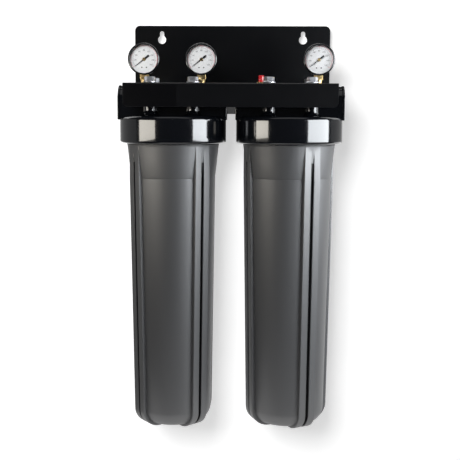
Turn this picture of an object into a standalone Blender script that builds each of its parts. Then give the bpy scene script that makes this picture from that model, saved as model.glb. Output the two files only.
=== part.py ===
"""Twin jumbo water filter: two heads under one folded wall bracket, each with its sump and cartridge.

World frame: x to the right, y towards the wall, z up. The wall is the plane y = 0, and z = 0 is the
height of the two keyholes that the bracket hangs by. Water enters the left head, passes its cartridge
from the outside in, crosses to the right head through the link nipple, and leaves on the right.
"""

import math

import bmesh
import bpy
from mathutils import Matrix

# Clearances between pieces
SEAT_GAP = 0.0003
RUNNING_GAP = 0.0006
OVERRUN = 0.004
MERGE = 0.000001

# Facets round a piece
COLLAR_SIDES = 36
ROUND_SIDES = 24
CORE_SIDES = 18
SMALL_SIDES = 12
ARC_STEPS = 3

# Cartridge, the standard size that the sumps are made for
CARTRIDGE_LENGTH = 0.508
CARTRIDGE_RADIUS = 0.057
CAP_SKIRT = 0.009
CAP_THICKNESS = 0.004
CAP_WALL = 0.0016
CORE_BORE_RADIUS = 0.014
CORE_WALL = 0.0025
CORE_RADIUS = CORE_BORE_RADIUS + CORE_WALL
GASKET_RADIUS = 0.023
GASKET_THICKNESS = 0.003

# Sump, a deep ribbed bowl that screws into the head
CARTRIDGE_ROOM = 0.003
SUMP_WALL = 0.0065
SUMP_BASE_RADIUS = CARTRIDGE_RADIUS + CARTRIDGE_ROOM + SUMP_WALL
SUMP_SPREAD = 0.0079
FLARE_END_RADIUS = SUMP_BASE_RADIUS + SUMP_SPREAD
FLARE_RISE = 0.0041
SHOULDER_RADIUS = FLARE_END_RADIUS + FLARE_RISE
FLARE_MIDDLE_SHARE = 0.6
NECK_STEP = 0.001
NECK_RADIUS = SHOULDER_RADIUS + NECK_STEP
NECK_WALL = 0.0095
NECK_BORE_RADIUS = NECK_RADIUS - NECK_WALL
NECK_TOP_GAP = 0.0011
SHOULDER_GAP = 0.0008
SHOULDER_BAND = 0.0038
STEP_DROP = 0.0575
STEP_INSET = 0.0011
SUMP_CORNER = 0.027
SUMP_INNER_CORNER = 0.016
SUMP_FLOOR_THICKNESS = 0.0075
RIB_WIDTH = 0.0128
RIB_GAP = 0.0048
RIB_RISE = 0.005
RIB_FOOT = 0.003
RIB_DRAFT = 0.0004
RIB_SPREAD = math.radians(49)
SUMP_TURNS = {"left": math.radians(-5), "right": math.radians(-20.5)}
PANEL_FACET = math.radians(12)
SEAT_INSET = 0.001
SEAT_RADIUS = GASKET_RADIUS - SEAT_INSET
SEAT_RISE = 0.007
PLUG_FIT = 0.0015
PLUG_RADIUS = CORE_BORE_RADIUS - PLUG_FIT
PLUG_RISE = 0.008

# Ring seal in the top of the neck
SEAL_SECTION = 0.0024
SEAL_INSET = 0.0043
SEAL_RADIUS = NECK_RADIUS - SEAL_INSET
SEAL_DEPTH = 0.0046

# Heads, moulded caps with both ports in one line
HEAD_RISE = 0.0522
PORT_SPAN = 0.187
PORT_BOSS_RADIUS = 0.0283
PORT_BEAD = 0.0012
PORT_BEAD_WIDTH = 0.0032
PORT_THREAD_RADIUS = 0.0167
PORT_THREAD_DEPTH = 0.026
PASSAGE_RADIUS = 0.0125
THREAD_BORE_RADIUS = NECK_RADIUS + RUNNING_GAP
COLLAR_WALL = 0.0119
COLLAR_RADIUS = THREAD_BORE_RADIUS + COLLAR_WALL
COLLAR_HEIGHT = 0.047
COLLAR_TOP_ROUND = 0.006
COLLAR_FOOT_ROUND = 0.004
DECK_THICKNESS = 0.0124
INLET_DROP_OFFSET = 0.045
INLET_DROP_RADIUS = 0.012
PILLAR_OFFSET = 0.0365
PILLAR_RADIUS = 0.0105
GAUGE_TAP_OFFSET = 0.0493
GAUGE_TAP_DEPTH = 0.012
HEAD_GAP = 0.015
HEAD_SPACING = max(PORT_SPAN, 2 * COLLAR_RADIUS) + HEAD_GAP
WALL_CLEARANCE = 0.006
HEAD_OUT = COLLAR_RADIUS + WALL_CLEARANCE

# Nose of the head, which seals the top of the cartridge
NOSE_FIT = 0.0014
NOSE_RADIUS = CORE_BORE_RADIUS - NOSE_FIT
NOSE_WALL = 0.0031
NOSE_BORE = NOSE_RADIUS - NOSE_WALL
NOSE_LENGTH = 0.008
NOSE_SHOULDER_DROP = 0.0068

# Bracket, one folded steel sheet
BRACKET_END = 0.0768
BRACKET_WIDTH = HEAD_SPACING + 2 * BRACKET_END
SHELF_FRONT = 0.087
BRACKET_DEPTH = HEAD_OUT + SHELF_FRONT
SHEET = 0.003
BEND = 0.002
BACK_RISE = 0.025
SHELF_DROP = 0.082
LIP_HEIGHT = 0.041
BACK_CORNER = 0.009
LIP_CORNER = 0.008
KEYHOLE_INSET = 0.0493
KEYHOLE_SPACING = BRACKET_WIDTH - 2 * KEYHOLE_INSET
KEYHOLE_HEAD = 0.0148
KEYHOLE_SLOT = 0.0078
KEYHOLE_REACH = 0.0154

# Bolts that hold the heads under the shelf
BOLT_RADIUS = 0.0044
BOLT_HOLE_ROOM = 0.0011
BOLT_HOLE_RADIUS = BOLT_RADIUS + BOLT_HOLE_ROOM
BOLT_LENGTH = 0.027
BOLT_FLANGE_RADIUS = 0.0112
BOLT_FLANGE_HEIGHT = 0.0032
BOLT_HEAD_ACROSS = 0.016
BOLT_HEAD_HEIGHT = 0.0068
BOLT_CHAMFER = 0.001

# Link nipple between the heads
NIPPLE_LAND = 0.0038
NIPPLE_ACROSS = 2 * (PORT_THREAD_RADIUS + NIPPLE_LAND)
NIPPLE_REACH = 0.018

# Pressure gauge
GAUGE_CASE_RADIUS = 0.026
GAUGE_CASE_WALL = 0.0012
GAUGE_CASE_DEPTH = 0.026
GAUGE_BEZEL_WALL = 0.0009
GAUGE_BEZEL_RADIUS = GAUGE_CASE_RADIUS + SEAT_GAP + GAUGE_BEZEL_WALL
GAUGE_BEZEL_LIP = 0.003
GAUGE_BEZEL_SKIRT = 0.005
GAUGE_BEZEL_NOSE = 0.0045
GAUGE_BEZEL_ROUND = 0.0014
GAUGE_WINDOW = 0.0016
GAUGE_DIAL = 0.0008
GAUGE_DIAL_SINK = 0.006
SPINDLE_RADIUS = 0.001
SPINDLE_ROOM = 0.0006
SPINDLE_HOLE = SPINDLE_RADIUS + SPINDLE_ROOM
HUB_RADIUS = 0.0026
HUB_HEIGHT = 0.0011
POINTER_RISE = 0.0022
POINTER_THICKNESS = 0.0006
POINTER_INSET = 0.0053
POINTER_LENGTH = GAUGE_CASE_RADIUS - GAUGE_CASE_WALL - POINTER_INSET
POINTER_TAIL = 0.0105
POINTER_ROOT = 0.0009
POINTER_TIP = 0.0003
POINTER_TAIL_WIDTH = 0.0014
POINTER_ZERO = math.radians(218)
SOCKET_ACROSS = 0.0148
SOCKET_HEIGHT = 0.0075
SOCKET_TAPER = 0.005
SOCKET_OVERLAP = 0.001
SOCKET_SHOW = 0.0022
SOCKET_THREAD = 0.0063
SOCKET_NECK = 0.005
SOCKET_BORE = 0.002
GAUGE_TAP_RADIUS = SOCKET_THREAD + SEAT_GAP
TUBE_ROOM = 0.004
TUBE_SECTION = 0.0018
TUBE_RADIUS = GAUGE_CASE_RADIUS - GAUGE_CASE_WALL - TUBE_ROOM - TUBE_SECTION
TUBE_SWEEP = math.radians(235)
MOVEMENT_WIDTH = 0.015
MOVEMENT_DEPTH = 0.007
MOVEMENT_RISE = 0.0075

# Pressure relief valve
BUTTON_RADIUS = 0.005
BUTTON_TOP = 0.0175
BUTTON_ROUND = 0.0012
BUTTON_TRAVEL = 0.0025
BUTTON_FIT = 0.0004
RELIEF_CHAMBER_RADIUS = BUTTON_RADIUS + BUTTON_FIT
RELIEF_WALL = 0.0031
RELIEF_BODY_RADIUS = RELIEF_CHAMBER_RADIUS + RELIEF_WALL
RELIEF_BODY_HEIGHT = 0.006
RELIEF_FLOOR = 0.0005
RELIEF_STEM_RADIUS = 0.0014
RELIEF_STEM_ROOM = 0.001
RELIEF_STEM_HOLE = RELIEF_STEM_RADIUS + RELIEF_STEM_ROOM
RELIEF_SEAT_DEPTH = 0.0055
SPRING_ROOM = 0.0016
SPRING_WIRE = 0.00035
SPRING_RADIUS = BUTTON_RADIUS - SPRING_ROOM
SPRING_PRESSED = 0.0028
SPRING_TURNS = 3
SPRING_POINTS = 8
BUTTON_FOOT = RELIEF_FLOOR + SPRING_PRESSED + BUTTON_TRAVEL
RELIEF_SEAL_RADIUS = 0.0036
RELIEF_SEAL_ROOM = 0.0009
RELIEF_MOUTH_RADIUS = RELIEF_SEAL_RADIUS + RELIEF_SEAL_ROOM
RELIEF_SEAL_THICKNESS = 0.0014
STEM_FOOT = 0.0005
STEM_HOLE_ROOM = 0.002
STEM_HOLE_RADIUS = RELIEF_BODY_RADIUS + STEM_HOLE_ROOM

# Places worked out from the sizes above
SHELF_TOP = -SHELF_DROP
SHELF_UNDER = SHELF_TOP - SHEET
HEAD_TOP = SHELF_UNDER - SEAT_GAP
PORT_AXIS = HEAD_TOP - PORT_BOSS_RADIUS
DECK = HEAD_TOP - HEAD_RISE
COLLAR_FOOT = DECK - COLLAR_HEIGHT
CEILING = DECK - DECK_THICKNESS
NOSE_SHOULDER = CEILING - NOSE_SHOULDER_DROP
CARTRIDGE_TOP = NOSE_SHOULDER - SEAT_GAP
CARTRIDGE_FOOT = CARTRIDGE_TOP - CARTRIDGE_LENGTH
NECK_TOP = CEILING - NECK_TOP_GAP
SHOULDER = COLLAR_FOOT - SHOULDER_GAP
SEAT = CARTRIDGE_FOOT - SEAT_GAP
SUMP_FLOOR = SEAT - SEAT_RISE
SUMP_BASE = SUMP_FLOOR - SUMP_FLOOR_THICKNESS
HEAD_X = {"left": -HEAD_SPACING / 2, "right": HEAD_SPACING / 2}
GAUGE_PLACES = {
    "left": HEAD_X["left"] - GAUGE_TAP_OFFSET,
    "middle": HEAD_X["left"] + GAUGE_TAP_OFFSET,
    "right": HEAD_X["right"] + GAUGE_TAP_OFFSET,
}
GAUGE_CENTRE = SHELF_TOP + SOCKET_SHOW + SOCKET_TAPER + SOCKET_HEIGHT + SEAT_GAP + GAUGE_CASE_RADIUS
RELIEF_X = HEAD_X["right"] - GAUGE_TAP_OFFSET
FACE_FRONT = Matrix.Rotation(math.radians(90), 4, "X")
ALONG_X = Matrix.Rotation(math.radians(90), 4, "Y")

# Looks, as colour, roughness and metallic value
POWDER_BLACK = ((0.012, 0.012, 0.014), 0.32, 0.0)
GLOSS_BLACK = ((0.010, 0.010, 0.012), 0.14, 0.0)
SUMP_GREY = ((0.060, 0.063, 0.068), 0.42, 0.0)
ZINC = ((0.78, 0.79, 0.82), 0.18, 1.0)
BRASS = ((0.78, 0.60, 0.30), 0.25, 1.0)
SEAL_BLACK = ((0.014, 0.014, 0.014), 0.6, 0.0)
WHITE_FIBRE = ((0.86, 0.86, 0.83), 0.9, 0.0)
CARBON = ((0.020, 0.020, 0.020), 0.9, 0.0)
WHITE_PLASTIC = ((0.82, 0.82, 0.80), 0.5, 0.0)
DIAL_WHITE = ((0.86, 0.87, 0.88), 0.5, 0.0)
WINDOW_CLEAR = ((0.9, 0.92, 0.93), 0.04, 0.0)
POINTER_BLACK = ((0.015, 0.015, 0.015), 0.4, 0.0)
BUTTON_RED = ((0.55, 0.02, 0.02), 0.3, 0.0)
SPRING_STEEL = ((0.6, 0.6, 0.62), 0.25, 1.0)


# Tools that the pieces share
def clear_scene():
    for old in list(bpy.data.objects):
        bpy.data.objects.remove(old, do_unlink=True)


def new_material(name, look):
    colour, roughness, metallic = look
    material = bpy.data.materials.new(name)
    material.use_nodes = True
    shader = material.node_tree.nodes["Principled BSDF"]
    shader.inputs["Base Color"].default_value = (*colour, 1.0)
    shader.inputs["Roughness"].default_value = roughness
    shader.inputs["Metallic"].default_value = metallic
    return material


def as_mesh(bm, name):
    """Merge, turn outwards and close a bmesh into a smooth-shaded mesh."""
    bmesh.ops.remove_doubles(bm, verts=bm.verts, dist=MERGE)
    bmesh.ops.dissolve_degenerate(bm, dist=MERGE, edges=bm.edges)
    bmesh.ops.recalc_face_normals(bm, faces=bm.faces)
    mesh = bpy.data.meshes.new(name)
    bm.to_mesh(mesh)
    bm.free()
    mesh.shade_smooth()
    mesh.set_sharp_from_angle(angle=math.radians(35))
    return mesh


def place_piece(name, mesh, look, location=(0, 0, 0)):
    """Put a mesh in the scene as a node with a material of its own."""
    piece = bpy.data.objects.new(name, mesh)
    piece.location = location
    bpy.context.collection.objects.link(piece)
    if not mesh.materials:
        mesh.materials.append(None)
    piece.material_slots[0].link = "OBJECT"
    piece.material_slots[0].material = new_material(name, look)
    return piece


def arc(centre, radius, start, stop, steps=ARC_STEPS):
    """Points of a round stretch of a profile; the angles are in degrees."""
    points = []
    for step in range(steps + 1):
        angle = math.radians(start + (stop - start) * step / steps)
        points.append((centre[0] + radius * math.cos(angle), centre[1] + radius * math.sin(angle)))
    return points


def turned(profile, sides, matrix=None):
    """Spin a closed profile of (radius, height) points about the z axis."""
    bm = bmesh.new()
    verts = [bm.verts.new((radius, 0, height)) for radius, height in profile]
    edges = [bm.edges.new((verts[i - 1], verts[i])) for i in range(len(verts))]
    bmesh.ops.spin(bm, geom=verts + edges, cent=(0, 0, 0), axis=(0, 0, 1), angle=math.tau,
                   steps=sides, use_merge=True, use_duplicate=False)
    bmesh.ops.remove_doubles(bm, verts=bm.verts, dist=MERGE)
    bmesh.ops.dissolve_degenerate(bm, dist=MERGE, edges=bm.edges)
    loose = [edge for edge in bm.edges if not edge.link_faces]
    bmesh.ops.delete(bm, geom=loose, context="EDGES")
    if matrix is not None:
        bm.transform(matrix)
    return bm


def prism(outline, low, high, matrix=None):
    """Extrude a closed outline in the xy plane from one height to another."""
    bm = bmesh.new()
    face = bm.faces.new([bm.verts.new((x, y, low)) for x, y in outline])
    grown = bmesh.ops.extrude_face_region(bm, geom=[face])["geom"]
    raised = [item for item in grown if isinstance(item, bmesh.types.BMVert)]
    bmesh.ops.translate(bm, verts=raised, vec=(0, 0, high - low))
    if matrix is not None:
        bm.transform(matrix)
    return bm


def loft(rings):
    """Skin closed rings of equal count, one after the other, and cap both ends."""
    bm = bmesh.new()
    loops = [[bm.verts.new(point) for point in ring] for ring in rings]
    for lower, upper in zip(loops, loops[1:]):
        for i in range(len(lower)):
            bm.faces.new((lower[i - 1], lower[i], upper[i], upper[i - 1]))
    bm.faces.new(loops[0])
    bm.faces.new(loops[-1])
    return bm


def cylinder(radius, low, high, sides, place=(0, 0)):
    """An upright round bar."""
    profile = [(0, low), (radius, low), (radius, high), (0, high)]
    return turned(profile, sides, Matrix.Translation((place[0], place[1], 0)))


def helper(name, bm):
    """A hidden guide body for a Boolean."""
    guide = bpy.data.objects.new(name, as_mesh(bm, name))
    guide.hide_render = True
    guide.display_type = "WIRE"
    bpy.context.collection.objects.link(guide)
    return guide


def combine(name, base, steps):
    """Join and cut guide bodies on a base body, and return the finished mesh."""
    work = helper(name, base)
    guides = []
    for index, (operation, bm) in enumerate(steps):
        guide = helper(f"{name}_{operation.lower()}_{index}", bm)
        guides.append(guide)
        modifier = work.modifiers.new(guide.name, "BOOLEAN")
        modifier.operation = operation
        modifier.object = guide
        modifier.solver = "EXACT"
    bpy.context.view_layer.update()
    evaluated = work.evaluated_get(bpy.context.evaluated_depsgraph_get())
    mesh = bpy.data.meshes.new_from_object(evaluated)
    mesh.name = name
    for used in guides + [work]:
        bpy.data.objects.remove(used, do_unlink=True)
    mesh.materials.clear()
    mesh.shade_smooth()
    mesh.set_sharp_from_angle(angle=math.radians(35))
    return mesh


# Bracket: back plate, shelf and front lip folded from one sheet
def keyhole_outline(x):
    half = KEYHOLE_SLOT / 2
    lean = math.degrees(math.asin(half / (KEYHOLE_HEAD / 2)))
    head = arc((x, 0), KEYHOLE_HEAD / 2, 90 - lean, -270 + lean, CORE_SIDES)
    slot = arc((x, KEYHOLE_REACH - half), half, 180, 0, 2 * ARC_STEPS)
    return head + slot


def make_bracket():
    outer = BEND + SHEET
    front = -BRACKET_DEPTH
    lip_foot = SHELF_TOP - LIP_HEIGHT
    profile = [(0, BACK_RISE)]
    profile += arc((-outer, SHELF_UNDER + outer), outer, 0, -90)
    profile += arc((front + outer, SHELF_UNDER - BEND), BEND, 90, 180)
    profile += [(front + SHEET, lip_foot), (front, lip_foot)]
    profile += arc((front + outer, SHELF_TOP - outer), outer, 180, 90)
    profile += arc((-outer, SHELF_TOP + BEND), BEND, -90, 0)
    profile += [(-SHEET, BACK_RISE)]
    side_on = Matrix(((0, 0, 1, 0), (1, 0, 0, 0), (0, 1, 0, 0), (0, 0, 0, 1)))
    sheet = prism(profile, -BRACKET_WIDTH / 2, BRACKET_WIDTH / 2, side_on)
    for height, radius in ((BACK_RISE, BACK_CORNER), (lip_foot, LIP_CORNER)):
        corners = [edge for edge in sheet.edges
                   if all(abs(v.co.z - height) < MERGE for v in edge.verts)
                   and abs(edge.verts[0].co.x - edge.verts[1].co.x) < MERGE]
        bmesh.ops.bevel(sheet, geom=corners, offset=radius, segments=2 * ARC_STEPS, profile=0.5,
                        affect="EDGES", material=-1)
    bmesh.ops.recalc_face_normals(sheet, faces=sheet.faces)
    cuts = []
    for x in (-KEYHOLE_SPACING / 2, KEYHOLE_SPACING / 2):
        cuts.append(("DIFFERENCE", prism(keyhole_outline(x), -OVERRUN, SHEET + OVERRUN, FACE_FRONT)))
    for x in HEAD_X.values():
        for bolt_x, bolt_y in pillar_places():
            cuts.append(("DIFFERENCE", cylinder(BOLT_HOLE_RADIUS, SHELF_UNDER - OVERRUN,
                                                SHELF_TOP + OVERRUN, SMALL_SIDES,
                                                (x + bolt_x, bolt_y - HEAD_OUT))))
        for offset in (-GAUGE_TAP_OFFSET, GAUGE_TAP_OFFSET):
            cuts.append(("DIFFERENCE", cylinder(STEM_HOLE_RADIUS, SHELF_UNDER - OVERRUN,
                                                SHELF_TOP + OVERRUN, CORE_SIDES,
                                                (x + offset, -HEAD_OUT))))
    place_piece("bracket", combine("bracket", sheet, cuts), POWDER_BLACK)


# Head: collar, port block, bolt pillars, water passages and the sealing nose
def pillar_places():
    return [(x * PILLAR_OFFSET, y * PILLAR_OFFSET) for x in (-1, 1) for y in (-1, 1)]


def collar_body():
    foot_bore = COLLAR_FOOT + COLLAR_FOOT_ROUND
    profile = [(0, DECK)]
    profile += arc((COLLAR_RADIUS - COLLAR_TOP_ROUND, DECK - COLLAR_TOP_ROUND), COLLAR_TOP_ROUND, 90, 0)
    profile += arc((COLLAR_RADIUS - COLLAR_FOOT_ROUND, foot_bore), COLLAR_FOOT_ROUND, 0, -90, 2)
    profile += [
        (THREAD_BORE_RADIUS, COLLAR_FOOT),
        (THREAD_BORE_RADIUS, CEILING),
        (SEAT_RADIUS, CEILING),
        (SEAT_RADIUS, NOSE_SHOULDER),
        (NOSE_RADIUS, NOSE_SHOULDER),
        (NOSE_RADIUS, NOSE_SHOULDER - NOSE_LENGTH),
        (0, NOSE_SHOULDER - NOSE_LENGTH),
    ]
    return turned(profile, COLLAR_SIDES)


def port_block():
    """An arched block along x, round on top and straight-sided below, with a bead at each mouth."""
    foot = DECK - COLLAR_TOP_ROUND / 2
    half = PORT_SPAN / 2
    stations = [
        (-half, PORT_BOSS_RADIUS),
        (PORT_BEAD_WIDTH - half, PORT_BOSS_RADIUS),
        (PORT_BEAD_WIDTH + PORT_BEAD - half, PORT_BOSS_RADIUS - PORT_BEAD),
        (half - PORT_BEAD_WIDTH - PORT_BEAD, PORT_BOSS_RADIUS - PORT_BEAD),
        (half - PORT_BEAD_WIDTH, PORT_BOSS_RADIUS),
        (half, PORT_BOSS_RADIUS),
    ]
    rings = []
    for x, radius in stations:
        ring = [(x, y, z) for y, z in arc((0, PORT_AXIS), radius, 0, 180, SMALL_SIDES)]
        rings.append(ring + [(x, -radius, foot), (x, radius, foot)])
    return loft(rings)


def port_cutter(inner):
    """Threaded mouth and passage, cut along x from one end of the block to its inner end."""
    mouth = PORT_SPAN / 2
    profile = [
        (0, mouth + OVERRUN),
        (PORT_THREAD_RADIUS + SEAT_GAP, mouth + OVERRUN),
        (PORT_THREAD_RADIUS + SEAT_GAP, mouth - PORT_THREAD_DEPTH),
        (PASSAGE_RADIUS, mouth - PORT_THREAD_DEPTH),
        (PASSAGE_RADIUS, inner),
        (0, inner),
    ]
    return turned(profile, CORE_SIDES, ALONG_X)


def make_heads():
    steps = [("UNION", port_block())]
    for x, y in pillar_places():
        steps.append(("UNION", cylinder(PILLAR_RADIUS, DECK - OVERRUN, HEAD_TOP, SMALL_SIDES, (x, y))))
    inlet = port_cutter(INLET_DROP_OFFSET - INLET_DROP_RADIUS)
    inlet.transform(Matrix.Rotation(math.pi, 4, "Z"))
    outlet = port_cutter(-NOSE_BORE / 2)
    for side in (inlet, outlet):
        side.transform(Matrix.Translation((0, 0, PORT_AXIS)))
        steps.append(("DIFFERENCE", side))
    nose_bore = cylinder(NOSE_BORE, NOSE_SHOULDER - NOSE_LENGTH - OVERRUN, PORT_AXIS, SMALL_SIDES)
    drop = cylinder(INLET_DROP_RADIUS, CEILING - OVERRUN, PORT_AXIS, SMALL_SIDES, (-INLET_DROP_OFFSET, 0))
    steps += [("DIFFERENCE", nose_bore), ("DIFFERENCE", drop)]
    for x in (-GAUGE_TAP_OFFSET, GAUGE_TAP_OFFSET):
        steps.append(("DIFFERENCE", cylinder(GAUGE_TAP_RADIUS, PORT_AXIS, HEAD_TOP + OVERRUN,
                                             SMALL_SIDES, (x, 0))))
    for x, y in pillar_places():
        steps.append(("DIFFERENCE", cylinder(BOLT_RADIUS + SEAT_GAP, HEAD_TOP - BOLT_LENGTH,
                                             HEAD_TOP + OVERRUN, SMALL_SIDES, (x, y))))
    mesh = combine("head", collar_body(), steps)
    for side, x in HEAD_X.items():
        place_piece(f"head_{side}", mesh, GLOSS_BLACK, (x, -HEAD_OUT, 0))


# Flanged bolts, four to a head
def hexagon_ring(across, height):
    """Twelve points on a hexagon: its corners and the middles of its flats."""
    ring = []
    for step in range(SMALL_SIDES):
        angle = math.tau * step / SMALL_SIDES
        reach = across / 2 if step % 2 else across / 2 / math.cos(math.pi / 6)
        ring.append((reach * math.cos(angle), reach * math.sin(angle), height))
    return ring


def round_ring(radius, height, sides=SMALL_SIDES):
    turn = math.tau / sides
    return [(radius * math.cos(turn * i), radius * math.sin(turn * i), height) for i in range(sides)]


def make_bolts():
    seat = SHELF_TOP + SEAT_GAP
    top = seat + BOLT_FLANGE_HEIGHT + BOLT_HEAD_HEIGHT
    rings = [
        round_ring(BOLT_RADIUS, HEAD_TOP - BOLT_LENGTH + OVERRUN),
        round_ring(BOLT_RADIUS, seat),
        round_ring(BOLT_FLANGE_RADIUS, seat),
        round_ring(BOLT_FLANGE_RADIUS, seat + BOLT_FLANGE_HEIGHT / 2),
        hexagon_ring(BOLT_HEAD_ACROSS, seat + BOLT_FLANGE_HEIGHT),
        hexagon_ring(BOLT_HEAD_ACROSS, top - BOLT_CHAMFER),
        round_ring(BOLT_HEAD_ACROSS / 2, top),
    ]
    mesh = as_mesh(loft(rings), "head_bolt")
    for side, x in HEAD_X.items():
        for number, (bolt_x, bolt_y) in enumerate(pillar_places(), start=1):
            place_piece(f"head_bolt_{side}_{number}", mesh, ZINC, (x + bolt_x, bolt_y - HEAD_OUT, 0))


# Link nipple: a hexagon with a threaded end in each head
def make_nipple():
    half = (HEAD_SPACING - PORT_SPAN) / 2 - SEAT_GAP
    reach = half + NIPPLE_REACH
    profile = [
        (PASSAGE_RADIUS, -reach),
        (PORT_THREAD_RADIUS, -reach),
        (PORT_THREAD_RADIUS, reach),
        (PASSAGE_RADIUS, reach),
    ]
    nut = loft([hexagon_ring(NIPPLE_ACROSS, -half), hexagon_ring(NIPPLE_ACROSS, half)])
    bore = cylinder(PASSAGE_RADIUS, -reach, reach, CORE_SIDES)
    mesh = combine("link_nipple", nut, [("DIFFERENCE", bore), ("UNION", turned(profile, CORE_SIDES))])
    mesh.transform(ALONG_X)
    place_piece("link_nipple", mesh, GLOSS_BLACK, (0, -HEAD_OUT, PORT_AXIS))


# Sump: a lofted bowl whose rings swell into four pairs of ribs
def rib_stations(turn):
    """Angles round the sump, each with how far it stands on a rib: 0 on a panel, 1 on a rib."""
    half_gap = RIB_GAP / 2 / SHOULDER_RADIUS
    width = RIB_WIDTH / SHOULDER_RADIUS
    draft = RIB_DRAFT / SHOULDER_RADIUS
    pair = [(half_gap - draft, 0), (half_gap, 1), (half_gap + width, 1), (half_gap + width + draft, 0)]
    pair = [(-angle, share) for angle, share in reversed(pair)] + pair
    centres = [turn + side + lean for side, lean in ((0, -RIB_SPREAD), (0, RIB_SPREAD),
                                                      (math.pi, -RIB_SPREAD), (math.pi, RIB_SPREAD))]
    stations = []
    for index, centre in enumerate(centres):
        stations += [(centre + angle, share) for angle, share in pair]
        start = centre + pair[-1][0]
        following = centres[(index + 1) % 4] + (math.tau if index == 3 else 0) + pair[0][0]
        count = round((following - start) / PANEL_FACET)
        stations += [(start + (following - start) * i / count, 0) for i in range(1, count)]
    return stations


def sump_profile():
    """Outer rings from the neck down: radius, height, rise of the ribs and drop of their feet."""
    flare_foot = SHOULDER - STEP_DROP
    corner_top = SUMP_BASE + SUMP_CORNER
    rings = [
        (NECK_RADIUS, NECK_TOP, 0, 0),
        (NECK_RADIUS, SHOULDER, 0, 0),
        (SHOULDER_RADIUS, SHOULDER, 0, 0),
        (SHOULDER_RADIUS, SHOULDER - SHOULDER_BAND, 0, 0),
    ]
    rise = (SHOULDER_RADIUS - FLARE_END_RADIUS) * FLARE_MIDDLE_SHARE
    rings.append((SHOULDER_RADIUS - rise, (SHOULDER - SHOULDER_BAND + flare_foot) / 2, rise, 0))
    rings.append((FLARE_END_RADIUS, flare_foot, SHOULDER_RADIUS - FLARE_END_RADIUS, 0))
    below = FLARE_END_RADIUS - STEP_INSET
    rings.append((below, flare_foot - STEP_INSET, SHOULDER_RADIUS - below, 0))
    rings.append((SUMP_BASE_RADIUS, corner_top, RIB_RISE, 0))
    for step in range(1, ARC_STEPS + 1):
        share = step / ARC_STEPS
        turn = math.pi / 2 * share
        radius = SUMP_BASE_RADIUS - SUMP_CORNER * (1 - math.cos(turn))
        height = corner_top - SUMP_CORNER * math.sin(turn)
        rings.append((radius, height, RIB_RISE * (1 - share), RIB_FOOT * math.sin(turn)))
    return rings


def sump_ring(stations, radius, height, rise, drop):
    ring = []
    for angle, share in stations:
        reach = radius + rise * share
        ring.append((reach * math.sin(angle), -reach * math.cos(angle), height - drop * share))
    return ring


def sump_hollow():
    """Inside of the bowl, with the seat and the plug that close the foot of the cartridge."""
    flare_foot = SHOULDER - STEP_DROP
    inner_base = SUMP_BASE_RADIUS - SUMP_WALL
    corner = SUMP_INNER_CORNER
    profile = [(0, NECK_TOP + OVERRUN), (NECK_BORE_RADIUS, NECK_TOP + OVERRUN)]
    profile += [(NECK_BORE_RADIUS, SHOULDER - SHOULDER_BAND)]
    profile += [(FLARE_END_RADIUS - STEP_INSET - SUMP_WALL, flare_foot)]
    profile += arc((inner_base - corner, SUMP_FLOOR + corner), corner, 0, -90)
    profile += [
        (SEAT_RADIUS, SUMP_FLOOR),
        (SEAT_RADIUS, SEAT),
        (PLUG_RADIUS, SEAT),
        (PLUG_RADIUS, SEAT + PLUG_RISE),
        (0, SEAT + PLUG_RISE),
    ]
    return turned(profile, ROUND_SIDES)


def seal_groove():
    half = SEAL_SECTION + SEAT_GAP
    profile = [
        (SEAL_RADIUS - half, NECK_TOP + OVERRUN),
        (SEAL_RADIUS + half, NECK_TOP + OVERRUN),
        (SEAL_RADIUS + half, NECK_TOP - SEAL_DEPTH),
        (SEAL_RADIUS - half, NECK_TOP - SEAL_DEPTH),
    ]
    return turned(profile, ROUND_SIDES)


def make_sumps():
    for side, x in HEAD_X.items():
        stations = rib_stations(SUMP_TURNS[side])
        rings = [sump_ring(stations, *ring) for ring in sump_profile()]
        steps = [("DIFFERENCE", sump_hollow()), ("DIFFERENCE", seal_groove())]
        mesh = combine(f"sump_{side}", loft(rings), steps)
        place_piece(f"sump_{side}", mesh, SUMP_GREY, (x, -HEAD_OUT, 0))


def make_ring_seals():
    height = NECK_TOP - SEAL_DEPTH + SEAT_GAP + SEAL_SECTION
    profile = arc((SEAL_RADIUS, height), SEAL_SECTION, 0, 360, 2 * ARC_STEPS)[:-1]
    mesh = as_mesh(turned(profile, ROUND_SIDES), "sump_o_ring")
    for side, x in HEAD_X.items():
        place_piece(f"sump_o_ring_{side}", mesh, SEAL_BLACK, (x, -HEAD_OUT, 0))


# Cartridge: core, media, two end caps and a flat gasket on each
def tube_profile(inner, outer, low, high):
    return [(inner, low), (outer, low), (outer, high), (inner, high)]


def end_cap_profile(face, inwards):
    """A cap with a skirt round the media; inwards is +1 or -1, the way to the cartridge's middle."""
    plate = face + inwards * CAP_THICKNESS
    skirt = face + inwards * CAP_SKIRT
    return [
        (CORE_BORE_RADIUS, face),
        (CARTRIDGE_RADIUS, face),
        (CARTRIDGE_RADIUS, skirt),
        (CARTRIDGE_RADIUS - CAP_WALL, skirt),
        (CARTRIDGE_RADIUS - CAP_WALL, plate),
        (CORE_BORE_RADIUS, plate),
    ]


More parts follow.
